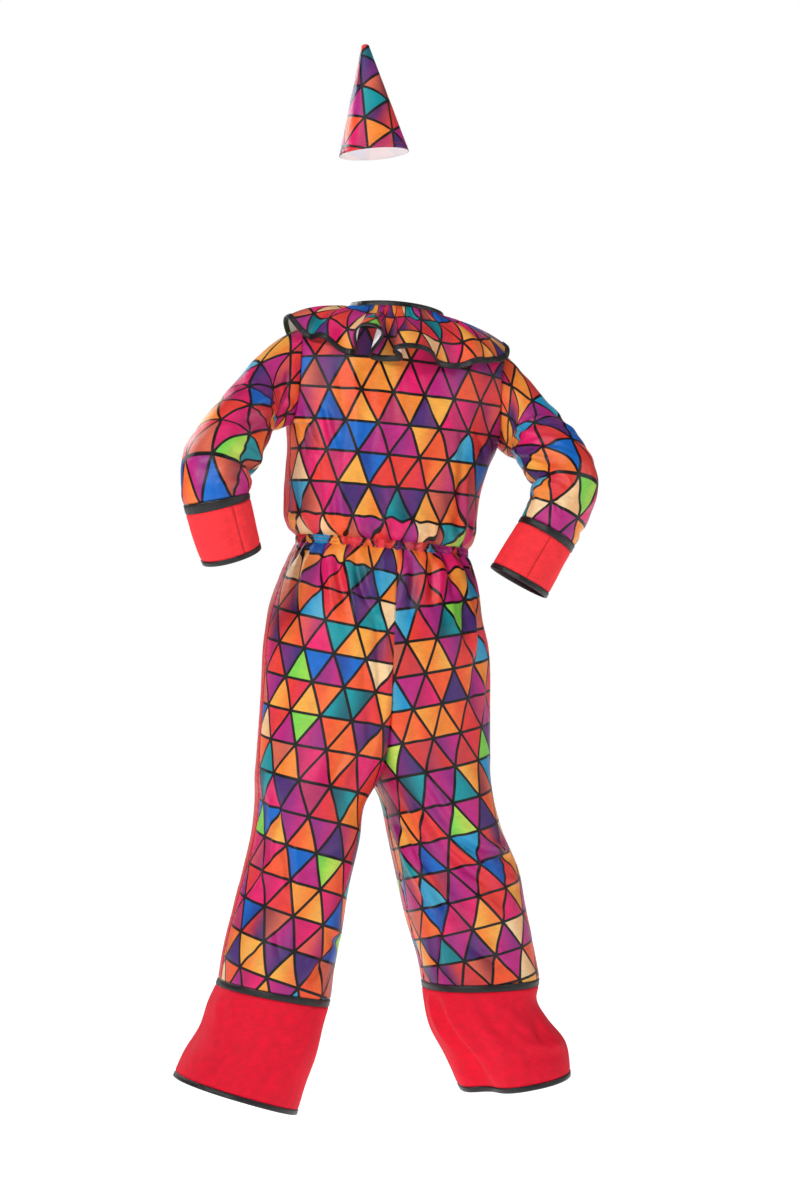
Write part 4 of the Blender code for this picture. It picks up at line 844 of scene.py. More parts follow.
def facing(points, closed):
    """A grid's unit normals, and 1 if rows cross columns so that they look away from its middle."""
    if closed:
        along = np.roll(points, -1, axis=1) - np.roll(points, 1, axis=1)
    else:
        along = np.gradient(points, axis=1)
    normals = unit(np.cross(along, np.gradient(points, axis=0)))
    hand = 1 if np.sum(normals * (points - points.reshape(-1, 3).mean(axis=0))) > 0 else -1
    return normals * hand, hand


def step_lengths(points, axis, closed=False):
    """The distances between neighbours along an axis of a grid."""
    following = np.roll(points, -1, axis=axis)
    lengths = np.linalg.norm(following - points, axis=-1)
    return lengths if closed else np.delete(lengths, -1, axis=axis)


def flat_cut(points, closed, seam_first=False, gathered=None):
    """The cut's coordinates in metres: v runs down the columns and u along the rows, from their middle
    or, with seam_first, from their first column, whose side's length it then has. gathered names the
    rows up to a drawn-in edge, whose cloth stays as wide as the row before."""
    around = np.cumsum(step_lengths(points, 1, closed), axis=1)
    u = np.concatenate([np.zeros((len(points), 1)), around], axis=1)
    if gathered is not None:
        widths = u[gathered, -1]
        u[gathered] *= (np.maximum.accumulate(widths) / widths)[:, None]
    steps = step_lengths(points, 0)
    if seam_first:
        steps = steps[:, : steps.shape[1] // 8]
    else:
        u = u - u[:, -1:] / 2
    v = np.concatenate([[0.0], np.cumsum(steps.mean(axis=1))])
    return np.stack([u, np.repeat(v[:, None], u.shape[1], axis=1)], axis=-1)


def add_object(name, data):
    """An object in the scene for a mesh, a lamp or a camera."""
    added = bpy.data.objects.new(name, data)
    bpy.context.scene.collection.objects.link(added)
    return added


def mesh_object(name, points, faces, uvs, uv_faces, materials, material_of):
    """A smooth mesh with the cut's coordinates as its UV map."""
    mesh = bpy.data.meshes.new(name)
    mesh.from_pydata(points.tolist(), [], faces.tolist())
    layer = mesh.uv_layers.new(name="cut")
    layer.data.foreach_set("uv", np.ascontiguousarray(uvs[uv_faces.ravel()], dtype=np.float32).ravel())
    for material in materials:
        mesh.materials.append(material)
    mesh.polygons.foreach_set("material_index", material_of.astype(np.int32))
    mesh.polygons.foreach_set("use_smooth", np.ones(len(mesh.polygons), dtype=bool))
    mesh.update()
    return add_object(name, mesh)


def grid_quads(rows, columns, wide, wraps):
    """Quads between neighbours of a grid whose rows have wide corners each."""
    spans = columns if wraps else columns - 1
    row, column = np.meshgrid(np.arange(rows - 1), np.arange(spans), indexing="ij")
    after = (column + 1) % wide
    corners = (row * wide + column, (row + 1) * wide + column, (row + 1) * wide + after, row * wide + after)
    return np.stack(corners, axis=-1).reshape(-1, 4)


def rim_edges(quads, count):
    """The edges that only one quad has, in that quad's order."""
    starts = quads.ravel().astype(np.int64)
    ends = np.roll(quads, -1, axis=1).ravel().astype(np.int64)
    alone = ~np.isin(starts * count + ends, ends * count + starts)
    return starts[alone], ends[alone]


def sheet_object(name, cloth, materials, start):
    """A thin two-sided sheet: its face, its reverse and the raw edges between them. start is where the
    print starts on it."""
    rows, columns = cloth.points.shape[:2]
    count = rows * columns
    normals, hand = facing(cloth.points, cloth.closed)
    outer = cloth.points.reshape(-1, 3)
    inner = (cloth.points - normals * THICK).reshape(-1, 3)
    face = grid_quads(rows, columns, columns, cloth.closed)
    face_uv = grid_quads(rows, columns, cloth.flat.shape[1], cloth.closed)
    if hand > 0:
        face, face_uv = face[:, ::-1], face_uv[:, ::-1]
    starts, ends = rim_edges(face, count)
    rim = np.stack([ends, starts, starts + count, ends + count], axis=-1)
    rim_uv = rim % count
    rim_uv = rim_uv // columns * cloth.flat.shape[1] + rim_uv % columns
    faces = np.concatenate([face, face[:, ::-1] + count, rim])
    uv_faces = np.concatenate([face_uv, face_uv[:, ::-1], rim_uv])
    sides = np.concatenate([np.zeros(len(face)), np.ones(len(face)), np.zeros(len(rim))])
    uvs = cloth.flat.reshape(-1, 2) + np.array(start)
    points = np.concatenate([outer, inner])
    return mesh_object(name, points, faces, uvs, uv_faces, materials, sides)


def tube_object(name, rings, closed, material):
    """A band with a closed section: rings are lines along the band, one for each point of its section."""
    rows, columns = rings.shape[:2]
    looped = np.concatenate([rings, rings[:1]])
    cut = flat_cut(looped, closed)
    faces = grid_quads(rows + 1, columns, columns, closed) % (rows * columns)
    uv_faces = grid_quads(rows + 1, columns, cut.shape[1], closed)
    if facing(rings, closed)[1] > 0:
        faces, uv_faces = faces[:, ::-1], uv_faces[:, ::-1]
    if not closed:
        faces, uv_faces = with_ends(faces, uv_faces, rows, columns)
    sides = np.zeros(len(faces))
    return mesh_object(name, rings.reshape(-1, 3), faces, cut.reshape(-1, 2), uv_faces, (material,), sides)


def with_ends(faces, uv_faces, rows, columns):
    """The faces, with the two ends of an open band closed by a ladder of quads across its section."""
    half = rows // 2
    upper = np.arange(half)
    ends = []
    for column in (0, columns - 1):
        ladder = np.stack([upper, upper + 1, rows - 1 - upper - 1, rows - 1 - upper], axis=-1)
        ladder = ladder[:-1] * columns + column
        ends.append(ladder if column else ladder[:, ::-1])
    ends = np.concatenate(ends)
    return np.concatenate([faces, ends]), np.concatenate([uv_faces, ends])


def runs_along(line):
    """The distance of each point of a line from its start."""
    return np.concatenate([[0.0], np.cumsum(np.linalg.norm(np.diff(line, axis=0), axis=1))])


def band_section(top, low, section, closed, uneven=0.0, seed=0):
    """The lines of a band from two lines along it. section gives points round it: how far from the top
    line to the low one, and how far out in millimetres."""
    along = np.roll(top, -1, axis=0) - np.roll(top, 1, axis=0) if closed else np.gradient(top, axis=0)
    out = unit(np.cross(along, low - top))
    if np.sum(out * (top - top.mean(axis=0))) < 0:
        out = -out
    swell = 1 + uneven * uneven_wave(runs_along(top), seed, BAND_WAVE)
    return np.array([top + (low - top) * t + out * (high * MM * swell)[:, None] for t, high in section])


def uneven_wave(run, seed, length):
    """A wave along a line, from -1 to 1, whose crests are not evenly spaced."""
    chance = np.random.RandomState(seed)
    total = np.zeros(np.shape(run))
    for _ in range(WAVES_MIXED):
        turns = run / (length * chance.uniform(*WAVES_LONG)) + chance.uniform()
        total = total + np.sin(2 * math.pi * turns)
    return total / WAVES_TOTAL


# ---- Folds, gathers and seams ----

# A listed fold: where its middle lies (a share across the piece, and the tables' distance down
# it), which way it runs (degrees from straight down, growing towards larger shares), its half length,
# half width and height in millimetres, and how far it bows. A negative height is a trough.
Crease = namedtuple("Crease", "across down way long wide high bow")
# What each column's whole numbers in CREASES are divided by
CREASE_PARTS = (1000, 1000, 1, 1, 10, 10, 10)


def crease_height(creases, flat, across, down):
    """How far the folds lift the cloth at each point. across and down name its columns and rows."""
    u, v = flat[:, : len(across), 0], flat[:, : len(across), 1]
    total = np.zeros(u.shape)
    for numbers in creases:
        crease = Crease(*(value / part for value, part in zip(numbers, CREASE_PARTS)))
        row, column = np.argmin(np.abs(down - crease.down)), np.argmin(np.abs(across - crease.across))
        total += one_fold(u - u[row, column], v - v[row, column], crease)
    return total


def one_fold(away_u, away_v, crease):
    """A fold's height: full along most of its length, with a soft hollow on both sides of it."""
    way = math.radians(crease.way)
    along = (away_u * math.sin(way) + away_v * math.cos(way)) / (crease.long * MM)
    beside = (away_u * math.cos(way) - away_v * math.sin(way)) / (crease.wide * MM)
    bend = beside + crease.bow * along**2
    profile = CREST * np.exp(-(bend**2)) - HOLLOW * np.exp(-((bend / HOLLOW_WIDE) ** 2))
    return crease.high * MM * profile * np.exp(-(np.abs(along) ** 3))


def ripples(flat, columns, seed, count, lean=0, spread=35, high=0.9):
    """Many small uneven ripples, the same in every run. lean and spread give their mean way and how
    far they differ from it, in degrees from straight down."""
    chance = np.random.RandomState(seed)
    u, v = flat[:, :columns, 0], flat[:, :columns, 1]
    total = np.zeros(u.shape)
    for _ in range(count):
        at_u, at_v = chance.uniform(u.min(), u.max()), chance.uniform(v.min(), v.max())
        way = lean + spread * chance.uniform(-1, 1)
        lift = high * chance.uniform(*RIPPLE_HIGH) * chance.choice(RIPPLE_SIDES)
        long, wide = chance.uniform(*RIPPLE_LONG), chance.uniform(*RIPPLE_WIDE)
        ripple = Crease(0, 0, way, long, wide, lift, chance.uniform(-RIPPLE_BOW, RIPPLE_BOW))
        total += one_fold(u - at_u, v - at_v, ripple)
    return total


def softened(heights, closed):
    """Heights shared with their neighbours, so that no fold is narrower than the grid can show."""
    for _ in range(FOLD_SMOOTHINGS):
        tall = np.pad(heights, ((1, 1), (0, 0)), mode="edge")
        heights = (tall[:-2] + 2 * heights + tall[2:]) / 4
        wide = np.pad(heights, ((0, 0), (1, 1)), mode="wrap" if closed else "edge")
        heights = (wide[:, :-2] + 2 * heights + wide[:, 2:]) / 4
    return heights


def edge_runs(flat, columns, closed):
    """Each point's distance from the nearest sewn edge, and its place along that edge."""
    u, v = flat[:, :columns, 0], flat[:, :columns, 1]
    runs = [(v - v[:1], u), (v[-1:] - v, u + 0.5)]
    if not closed:
        runs += [(u - u[:, :1], v + 1.0), (u[:, -1:] - u, v + 1.0)]
    far, place = np.full(u.shape, 1.0), np.zeros(u.shape)
    for run, along in runs:
        place = np.where(run < far, along, place)
        far = np.minimum(run, far)
    return far, place


def seam_height(far, place):
    """The cloth stands up beside a seam, with small puckers that die away from it."""
    beside = 1 - np.exp(-((far / SEAM_WIDE) ** 2))
    puckers = PUCKER_HIGH * uneven_wave(place, PUCKER_SEED, PUCKER_LONG) * np.exp(-far / SEAM_CALM)
    return MM * beside * (SEAM_HIGH + puckers)


def calm_edges(far):
    """0 on a sewn edge and 1 well inside the piece, so that neighbours keep one edge."""
    return 1 - np.exp(-((far / SEAM_CALM) ** 2))


def smoothed(points, rows, share):
    """A grid with its columns smoothed near the given rows. share says how much, for each column."""
    places = np.arange(len(points))[:, None]
    near = np.exp(-(((places - rows[0]) / rows[1]) ** 2)) * share
    for _ in range(SMOOTHINGS):
        following, before = points[2:], points[:-2]
        middle = points[1:-1] + ((following + before) / 2 - points[1:-1]) * near[1:-1, :, None] / 2
        points = np.concatenate([points[:1], middle, points[-1:]])
    return points


def round_gathers(turn, far, reach, seed, count, high):
    """Uneven gathers round a drawn-in edge. turn goes from 0 to 1 round it, and far is the distance
    from it."""
    chance = np.random.RandomState(seed)
    places = np.cumsum(chance.uniform(*GATHER_SPACING, count))
    total = np.zeros(np.broadcast(turn, far).shape)
    for place in places / places[-1]:
        wide = chance.uniform(*GATHER_WIDE) / count * (1 + GATHER_GROWTH * far / reach)
        lift = high * MM * chance.uniform(*GATHER_HIGH)
        long = reach * chance.choice(GATHER_LONG, p=GATHER_LONG_CHANCES)
        drift = chance.uniform(-GATHER_DRIFT, GATHER_DRIFT) / count
        fade = np.exp(-((far / long) ** GATHER_FADE))
        apart = (turn - place - drift * far / reach + 0.5) % 1.0 - 0.5
        total = total + lift * fade * (np.exp(-((apart / wide) ** 2)) - GATHER_MEAN * wide)
    return total


def waist_push(points, far, reach):
    """The gathers at the waist, the same at one place for the bodice, the casing and the trousers."""
    x, y = points[..., 0] - WAIST_MIDDLE[0], points[..., 1] - WAIST_MIDDLE[1]
    turn = np.arctan2(y / WAIST_DEEP, x / WAIST_HALF) / (2 * math.pi) % 1.0
    height = round_gathers(turn, far, reach, *WAIST_GATHERS)
    return unit(stack(x, y, 0 * x)) * height[..., None]


def dressed(base, flat, closed, lift, push=0.0):
    """A smooth grid of cloth with its folds."""
    normals, _ = facing(base, closed)
    return Cloth(base + normals * lift[..., None] + push, flat, closed)


# ---- The pieces ----


def armhole_downs():
    """The heights of the rows along the armhole, closer together at its ends, as round an oval."""
    share = (1 - np.cos(math.pi * np.arange(ARMHOLE_ROWS + 1) / ARMHOLE_ROWS)) / 2
    return SHOULDER_DOWN + (ARMPIT_DOWN - SHOULDER_DOWN) * share


def joined(*runs):
    """Runs of points, each starting where the last one ends, as one closed loop."""
    return np.concatenate([run[:-1] for run in runs])


def folded(node, flat, closed, across, down):
    """The height of a piece's folds, small ripples and seams."""
    columns = len(across)
    far, place = edge_runs(flat, columns, closed)
    loose = crease_height(CREASES.get(node, ()), flat, across, down)
    loose = softened(loose + ripples(flat, columns, *SHEETS[node].ripples), closed)
    return loose * calm_edges(far) + seam_height(far, place)


def waved_cut(flat, far, seed):
    """The cut, drawn up unevenly near the waist, so that the print waves there. far is the distance from
    the waist."""
    waves = np.stack([uneven_wave(flat[..., 0], seed + way, WAVE_LONG) for way in (0, 1)], axis=-1)
    return flat + waves * (WAVE_HIGH * np.exp(-((far / WAVE_REACH) ** WAVE_FADE)))[..., None]


def bodice_cloth(node, side, first, last):
    """The back, or a part of the front between two shares across it."""
    across = np.linspace(first, last, round(BODICE_COLUMNS * (last - first)) + 1)
    chest = np.linspace(ARMPIT_DOWN, WAIST_TOP, CHEST_ROWS + 1)[1:]
    down = np.concatenate([armhole_downs(), chest])
    base = body(side, across[None], down[:, None])
    flat = flat_cut(base, False, gathered=np.arange(ARMHOLE_ROWS, len(down)))
    lift = folded(node, flat, False, across, down)
    far = WAIST_TOP - down[:, None]
    cut = waved_cut(flat, far, BODICE_WAVE_SEED + side)
    return dressed(base, cut, False, lift, waist_push(base, far, BODICE_REACH))


def placket_cloth():
    """The closure's overlap, a little in front of the two front pieces."""
    cloth = bodice_cloth("front_placket", -1, 0.5 - PLACKET_SHARE, 0.5 + PLACKET_SHARE)
    normals, _ = facing(cloth.points, False)
    return Cloth(cloth.points + normals * PLACKET_OUT, cloth.flat, False)


def trouser_cloth(node, side, way):
    """One trouser panel, from the gathered waist to the leg band."""
    across = np.linspace(0, 1, LEG_COLUMNS + 1)
    hips = np.linspace(WAIST_BOTTOM, FORK_START, HIP_ROWS + 1)
    steps = np.linspace(0, 1, FORK_ROWS + 1)[1:]
    steps = steps + FORK_CLOSER * (np.sin(math.pi / 2 * steps) - steps)
    fork = FORK_START + (CROTCH_DOWN - FORK_START) * steps
    legs = np.linspace(CROTCH_DOWN, BAND_TOP[side], LEG_ROWS + 1)[1:]
    down = np.concatenate([hips, fork, legs])
    inward = np.minimum(1, SMOOTH_INWARD * np.minimum(across, 1 - across))
    base = smoothed(trousers(side, way, across[None], down[:, None]), FORK_PLACE, inward)
    flat = flat_cut(base, False, seam_first=True, gathered=np.arange(HIP_ROWS, -1, -1))
    lift = folded(node, flat, False, across, down)
    far = down[:, None] - WAIST_BOTTOM
    cut = waved_cut(turned_cut(flat, LEG_GRAIN), far, TROUSERS_WAVE_SEED + way)
    return dressed(base, cut, False, lift, waist_push(base, far, TROUSERS_REACH))


def turned_cut(flat, degrees):
    """The cut's coordinates, turned."""
    cosine, sine = math.cos(math.radians(degrees)), math.sin(math.radians(degrees))
    u, v = flat[..., 0], flat[..., 1]
    return np.stack([u * cosine + v * sine, v * cosine - u * sine], axis=-1)


def casing_cloth():
    """The drawn-in waist casing: a narrow tunnel with a row of scallops along both edges."""
    across = np.linspace(0, 1, BODICE_COLUMNS + 1)
    top = joined(body(1, across, WAIST_TOP), body(-1, across, WAIST_TOP)[::-1])
    half = np.linspace(0, 1, BODICE_COLUMNS // 2 + 1)
    quarters = [trousers(side, way, half, WAIST_BOTTOM)
                for side, way in (("left", 1), ("right", 1), ("right", -1), ("left", -1))]
    low = joined(quarters[0], quarters[1][::-1], quarters[2], quarters[3][::-1])
    share = np.linspace(-CASING_FRILL, 1 + CASING_FRILL, CASING_ROWS + 1)[:, None]
    base = top * (1 - share[..., None]) + low * share[..., None]
    flat = flat_cut(base, True)
    run = flat[:, :-1, 0]
    frill = np.clip(np.abs(2 * share - 1) - FRILL_START, 0, 1)
    tunnel = np.sin(math.pi * np.clip(share, 0, 1)) ** 0.5
    puff = tunnel * (TUNNEL_HIGH + TUNNEL_UNEVEN * uneven_wave(run, *TUNNEL_WAVE))
    lift = MM * (CASING_UP + puff + FRILL_HIGH * frill)
    scallops = MM * SCALLOP_HIGH * frill * uneven_wave(run, *SCALLOP_WAVE) * np.sign(0.5 - share)
    push = waist_push(base, 0 * run, CASING_REACH) + stack(0 * run, 0 * run, scallops)
    return dressed(base, flat, True, lift, push)


def leg_ring(side, down):
    """A ring round a leg: the back from the inseam to the side seam, then the front."""
    across = np.linspace(0, 1, LEG_COLUMNS + 1)
    return joined(trousers(side, 1, across, down)[::-1], trousers(side, -1, across, down))


def tube_cloth(node, ring, first, last, rows):
    """A closed piece along a sleeve or a leg, between two of the tables' distances."""
    down = np.linspace(first, last, rows + 1)
    base = np.array([ring(station) for station in down])
    across = np.arange(base.shape[1]) / base.shape[1]
    flat = flat_cut(base, True)
    column, deep, wide = CUFF_SEAMS.get(node, TUBE_SEAM)
    away = np.abs((across - across[column] + 0.5) % 1.0 - 0.5)
    apart = away * step_lengths(base, 1, True).sum(axis=1)[:, None]
    fade = ease(np.minimum(down - first, last - down) / SEAM_ENDS)[:, None]
    groove = deep * MM * fade * np.exp(-((apart / (wide * MM)) ** 2))
    return dressed(base, flat, True, folded(node, flat, True, across, down) - groove)


def collar_wave(angles):
    """How many degrees the collar's edge hangs below level and how far it rolls over, at each angle."""
    table = np.array(WAVES)
    after = np.clip(np.searchsorted(table[:, 0], angles, side="right"), 1, len(table) - 1)
    start, end = table[after - 1], table[after]
    t = (angles - start[:, 0]) / (end[:, 0] - start[:, 0])
    hang = start[:, 1] + (end[:, 1] - start[:, 1]) * (1 - np.cos(math.pi * t)) / 2
    return hang, ROLL_MORE * start[:, 2] * np.sin(2 * math.pi * t)


def collar_line(angles, share):
    """The collar's points at one share of its width from the neckband."""
    hangs, rolls = collar_wave(angles)
    turned = np.radians(angles)
    first_hang = RUFFLE_START + RUFFLE_START_BACK * np.sin(turned) ** 2
    last_hang = 2 * hangs - first_hang
    shares = (np.arange(RUFFLE_STEPS)[:, None] + 0.5) / RUFFLE_STEPS * share
    drop = np.radians(first_hang + (last_hang - first_hang) * shares)
    run = share * RUFFLE_WIDE
    flat, fall = np.cos(drop).mean(axis=0) * run, np.sin(drop).mean(axis=0) * run
    puffs = round_gathers((angles - ROUND[0]) / 360, run, NECK_REACH, *NECK_GATHERS)
    puffs = PUFF_SHARE * puffs * (1 - math.exp(-((run / NECK_START) ** 2)))
    dip = NECK_DIP * run / NECK_DIP_FAR * math.exp(1 - run / NECK_DIP_FAR)
    rise = NECK_RISE * math.exp(-run / NECK_RISE_FAR) - dip * np.clip(np.sin(turned), 0, 1) ** 2
    radial = stack(np.cos(turned), np.sin(turned), 0 * turned)
    tangent = stack(-np.sin(turned), np.cos(turned), 0 * turned)
    tilted = slope(BODY[0].tilt) * np.cos(turned) * flat
    sideways = tangent * (rolls * share**ROLL_POWER)[:, None]
    outward = radial * (flat + puffs)[:, None] + sideways + stack(0, 0, puffs + rise - fall + tilted)
    return neck_line(angles, RUFFLE_CLEAR, RUFFLE_UP) + outward


def collar_cloth():
    """The gathered ruffle, from the neckband to its bound edge."""
    angles = np.linspace(*ROUND, COLLAR_COLUMNS + 1)
    shares = np.linspace(0, 1, COLLAR_ROWS + 1) ** COLLAR_ROWS_POWER
    base = np.array([collar_line(angles, share) for share in shares])
    flat = flat_cut(base, False)
    edge = runs_along(base[-1])
    flat[:, :, 0] = edge - edge[-1] / 2
    return Cloth(base, flat, False)


def collar_binding():
    """The binding of the collar's edge, and the line of its stitches."""
    angles = np.linspace(*ROUND, COLLAR_COLUMNS + 1)
    top = collar_line(angles, 1 - BINDING_OVERLAP / RUFFLE_WIDE)
    low = collar_line(angles, 1 + (RUFFLE_BINDING_WIDE + BINDING_MORE) / RUFFLE_WIDE)
    thick = [(share, BINDING_ROUND * out) for share, out in WRAPPED]
    rings = band_section(top, low, thick, False, BINDING_UNEVEN, BINDING_SEED)
    return rings, band_line(top, low, BINDING_STITCHES, False)


def neckband():
    """The band round the neck's edge, and the line of its stitches."""
    low = neck_line(np.linspace(*ROUND, NECKBAND_COLUMNS + 1), 0.0, 0.0)
    inward = -unit(low * np.array([1, 1, 0]))
    top = low + (inward * NECKBAND_LEAN + np.array([0, 0, 1])) * (NECKBAND_TALL + NECKBAND_MORE)
    rings = band_section(top, low, WRAPPED, False, NECKBAND_UNEVEN, NECKBAND_SEED)
    return rings, band_line(top, low, NECKBAND_STITCHES, False)


def hat_frame():
    """The hat's axis and the two directions across it."""
    axis = unit(np.array([HAT_LEAN_LEFT, -HAT_LEAN_FRONT, 1.0]))
    left = unit(np.cross([0.0, 1.0, 0.0], axis))
    return axis, left, np.cross(axis, left)


def hat_point(turn, share):
    """A point of the hat's cone: turn goes from its seam at the back."""
    axis, left, front = hat_frame()
    angle = 2 * math.pi * turn - math.pi / 2
    ring = np.cos(angle)[..., None] * left + np.sin(angle)[..., None] * front
    radius = HAT_RADIUS + (HAT_TIP_RADIUS - HAT_RADIUS) * np.minimum(share, 1.0)
    round_tip = np.sqrt(np.clip(1 - (np.maximum(share - 1, 0) / HAT_TIP_SHARE) ** 2, 0, 1))
    return np.array(HAT_BASE) + axis * (HAT_TALL * share)[..., None] + (radius * round_tip)[..., None] * ring


def unrolled_cut(flat):
    """The cut of a cone, whose rows lie round its tip."""
    far = flat[..., 1] + HAT_TIP_FAR
    angle = flat[..., 0] / far
    return np.stack([far * np.sin(angle), far * np.cos(angle)], axis=-1)


def hat_cloth():
    """The hat's cone, from its closed tip to its edge."""
    turn = np.arange(HAT_COLUMNS) / HAT_COLUMNS
    tip = np.linspace(1 + HAT_CLOSED * HAT_TIP_SHARE, 1, HAT_TIP_ROWS)[:-1]
    share = np.concatenate([tip, np.linspace(1, 0, HAT_ROWS + 1)])[:, None]
    base = hat_point(turn[None] + 0 * share, share + 0 * turn[None])
    flat = flat_cut(base, True)
    apart = np.minimum(turn, 1 - turn) * step_lengths(base, 1, True).sum(axis=1)[:, None]
    seam = MM * sum(high * np.exp(-((apart / wide) ** 2)) for high, wide in HAT_SEAM)
    dents = ripples(flat, HAT_COLUMNS, *SHEETS["hat_cone"].ripples)
    cut = turned_cut(unrolled_cut(flat), HAT_GRAIN)
    return dressed(base, cut, True, (dents + seam) * ease((1 - share) / HAT_SMOOTH))


def band_line(top, low, share, closed):
    """A line for stitches on a band, and its way out: share goes from the top line to the low one."""
    if closed:
        top, low = (np.concatenate([line, line[:1]]) for line in (top, low))
    line = band_section(top, low, ((share, STITCH_OUT),), False)[0]
    return line, unit(line - (top + (low - top) * share))


def cloth_line(cloth, row=None, column=None):
    """A line for stitches along a row or a column of a sheet, and its way out."""
    normals, _ = facing(cloth.points, cloth.closed)
    pick = (slice(None), column) if row is None else (row,)
    line, out = cloth.points[pick], normals[pick]
    if cloth.closed:
        line, out = (np.concatenate([part, part[:1]]) for part in (line, out))
    return line + out * STITCH_OVER, out


def stitches(line, out):
    """The points and quads of a row of stitches along a line. out is the way out of the cloth."""
    run = runs_along(line)
    starts = np.arange(STITCH_PITCH / 2, run[-1] - STITCH_LONG, STITCH_PITCH)
    points = []
    for way, thick in STITCH_ROUND:
        at = starts + way * STITCH_LONG
        middle, ahead, outward = (
            np.stack([np.interp(where, run, parts[:, i]) for i in range(3)], axis=-1)
            for where, parts in ((at, line), (at + MM, line), (at, out))
        )
        outward = unit(outward)
        beside = np.cross(unit(ahead - middle), outward)
        for angle in (0, math.pi / 2, math.pi, 3 * math.pi / 2):
            spoke = math.cos(angle) * outward + math.sin(angle) * beside
            points.append(middle + STITCH_THICK * thick * spoke)
    points = np.array(points).reshape(len(STITCH_ROUND), 4, -1, 3).transpose(2, 0, 1, 3)
    side = np.arange(4)
    after = (side + 1) % 4
    last = 4 * (len(STITCH_ROUND) - 1)
    quads = [np.stack([row + side, row + after, row + 4 + after, row + 4 + side], axis=-1)
             for row in range(0, last, 4)]
    quads = np.concatenate(quads + [np.array([[3, 2, 1, 0], [last, last + 1, last + 2, last + 3]])])
    faces = quads[None] + (last + 4) * np.arange(len(starts))[:, None, None]
    return points.reshape(-1, 3), faces.reshape(-1, 4)


# ---- Materials ----


def linear(colour, factor=1.0):
    """A colour as seen on a screen, as linear light, made darker or lighter by a factor."""
    light = (((value + 0.055) / 1.055) ** 2.4 if value > 0.04045 else value / 12.92 for value in colour)
    return (*(value * factor for value in light), 1)


class Graph:
    """A material's nodes, built with short calls. Inputs are other nodes' outputs or plain values."""

    def __init__(self, name):
        self.material = bpy.data.materials.new(name)
        self.material.use_nodes = True
        self.tree = self.material.node_tree
        self.shader = self.tree.nodes["Principled BSDF"]

    def fill(self, socket, value):
        if isinstance(value, bpy.types.NodeSocket):
            self.tree.links.new(value, socket)
        else:
            socket.default_value = value

    def node(self, kind, inputs, **settings):
        node = self.tree.nodes.new(kind)
        for key, value in settings.items():
            setattr(node, key, value)
        for key, value in inputs.items():
            self.fill(node.inputs[key], value)
        return node

    def math(self, operation, *values):
        return self.node("ShaderNodeMath", dict(enumerate(values)), operation=operation).outputs[0]

    def vector(self, x, y, z=0.0):
        return self.node("ShaderNodeCombineXYZ", {0: x, 1: y, 2: z}).outputs[0]

    def cut(self):
        """The cut's two coordinates in metres."""
        place = self.node("ShaderNodeUVMap", {}, uv_map="cut").outputs[0]
        parts = self.node("ShaderNodeSeparateXYZ", {0: place}).outputs
        return parts[0], parts[1]

    def spread(self, value, low, high, to_low, to_high):
        inputs = {"Value": value, "From Min": low, "From Max": high, "To Min": to_low, "To Max": to_high}
        return self.node("ShaderNodeMapRange", inputs, interpolation_type="SMOOTHSTEP").outputs[0]

    def noise(self, place, scale, detail=2.0):
        inputs = {"Vector": place, "Scale": scale, "Detail": detail}
        return self.node("ShaderNodeTexNoise", inputs).outputs[0]

    def shifted(self, place, shift):
        inputs = {0: place, 1: (shift, CHANCE_SLANT * shift, CHANCE_HIGH)}
        return self.node("ShaderNodeVectorMath", inputs, operation="ADD").outputs[0]

    def chance(self, place):
        return self.node("ShaderNodeTexWhiteNoise", {"Vector": place}).outputs[0]

    def ramp(self, value, stops):
        node = self.node("ShaderNodeValToRGB", {0: value})
        node.color_ramp.interpolation = "CONSTANT"
        elements = node.color_ramp.elements
        elements.remove(elements[1])
        for index, (position, colour) in enumerate(stops):
            element = elements[0] if index == 0 else elements.new(position)
            element.position = position
            element.color = colour
        return node.outputs[0]

    def mix(self, share, first, second, way="MIX"):
        inputs = {0: share, 6: first, 7: second}
        return self.node("ShaderNodeMix", inputs, data_type="RGBA", blend_type=way).outputs[2]

    def bump(self, height, distance, under=None):
        inputs = {"Height": height, "Distance": distance, "Strength": 1.0}
        if under is not None:
            inputs["Normal"] = under
        return self.node("ShaderNodeBump", inputs).outputs[0]

    def finish(self, colour, roughness, normal, **fixed):
        self.fill(self.shader.inputs["Base Color"], colour)
        self.fill(self.shader.inputs["Roughness"], roughness)
        self.fill(self.shader.inputs["Normal"], normal)
        for name, value in fixed.items():
            self.shader.inputs[name.replace("_", " ")].default_value = value
        return self.material


def satin_surface(graph, u, v, crumple=0.5):
    """The cloth's small relief and its uneven gloss: threads, drawn-out streaks and soft crumples.
    crumple is in millimetres."""
    down = graph.math("SINE", graph.math("MULTIPLY", v, 2 * math.pi / THREAD_DOWN))
    across = graph.math("SINE", graph.math("MULTIPLY", u, 2 * math.pi / THREAD_ACROSS))
    drawn = graph.vector(graph.math("MULTIPLY", u, STREAKS_ACROSS), graph.math("MULTIPLY", v, STREAKS_DOWN))
    streaks = graph.noise(drawn, 1.0)
    soft = graph.noise(graph.vector(u, v), CRUMPLES, 3.0)
    weave = graph.bump(graph.math("ADD", down, across), THREAD_RELIEF)
    return graph.bump(soft, crumple * MM, weave), graph.math("ADD", streaks, soft)


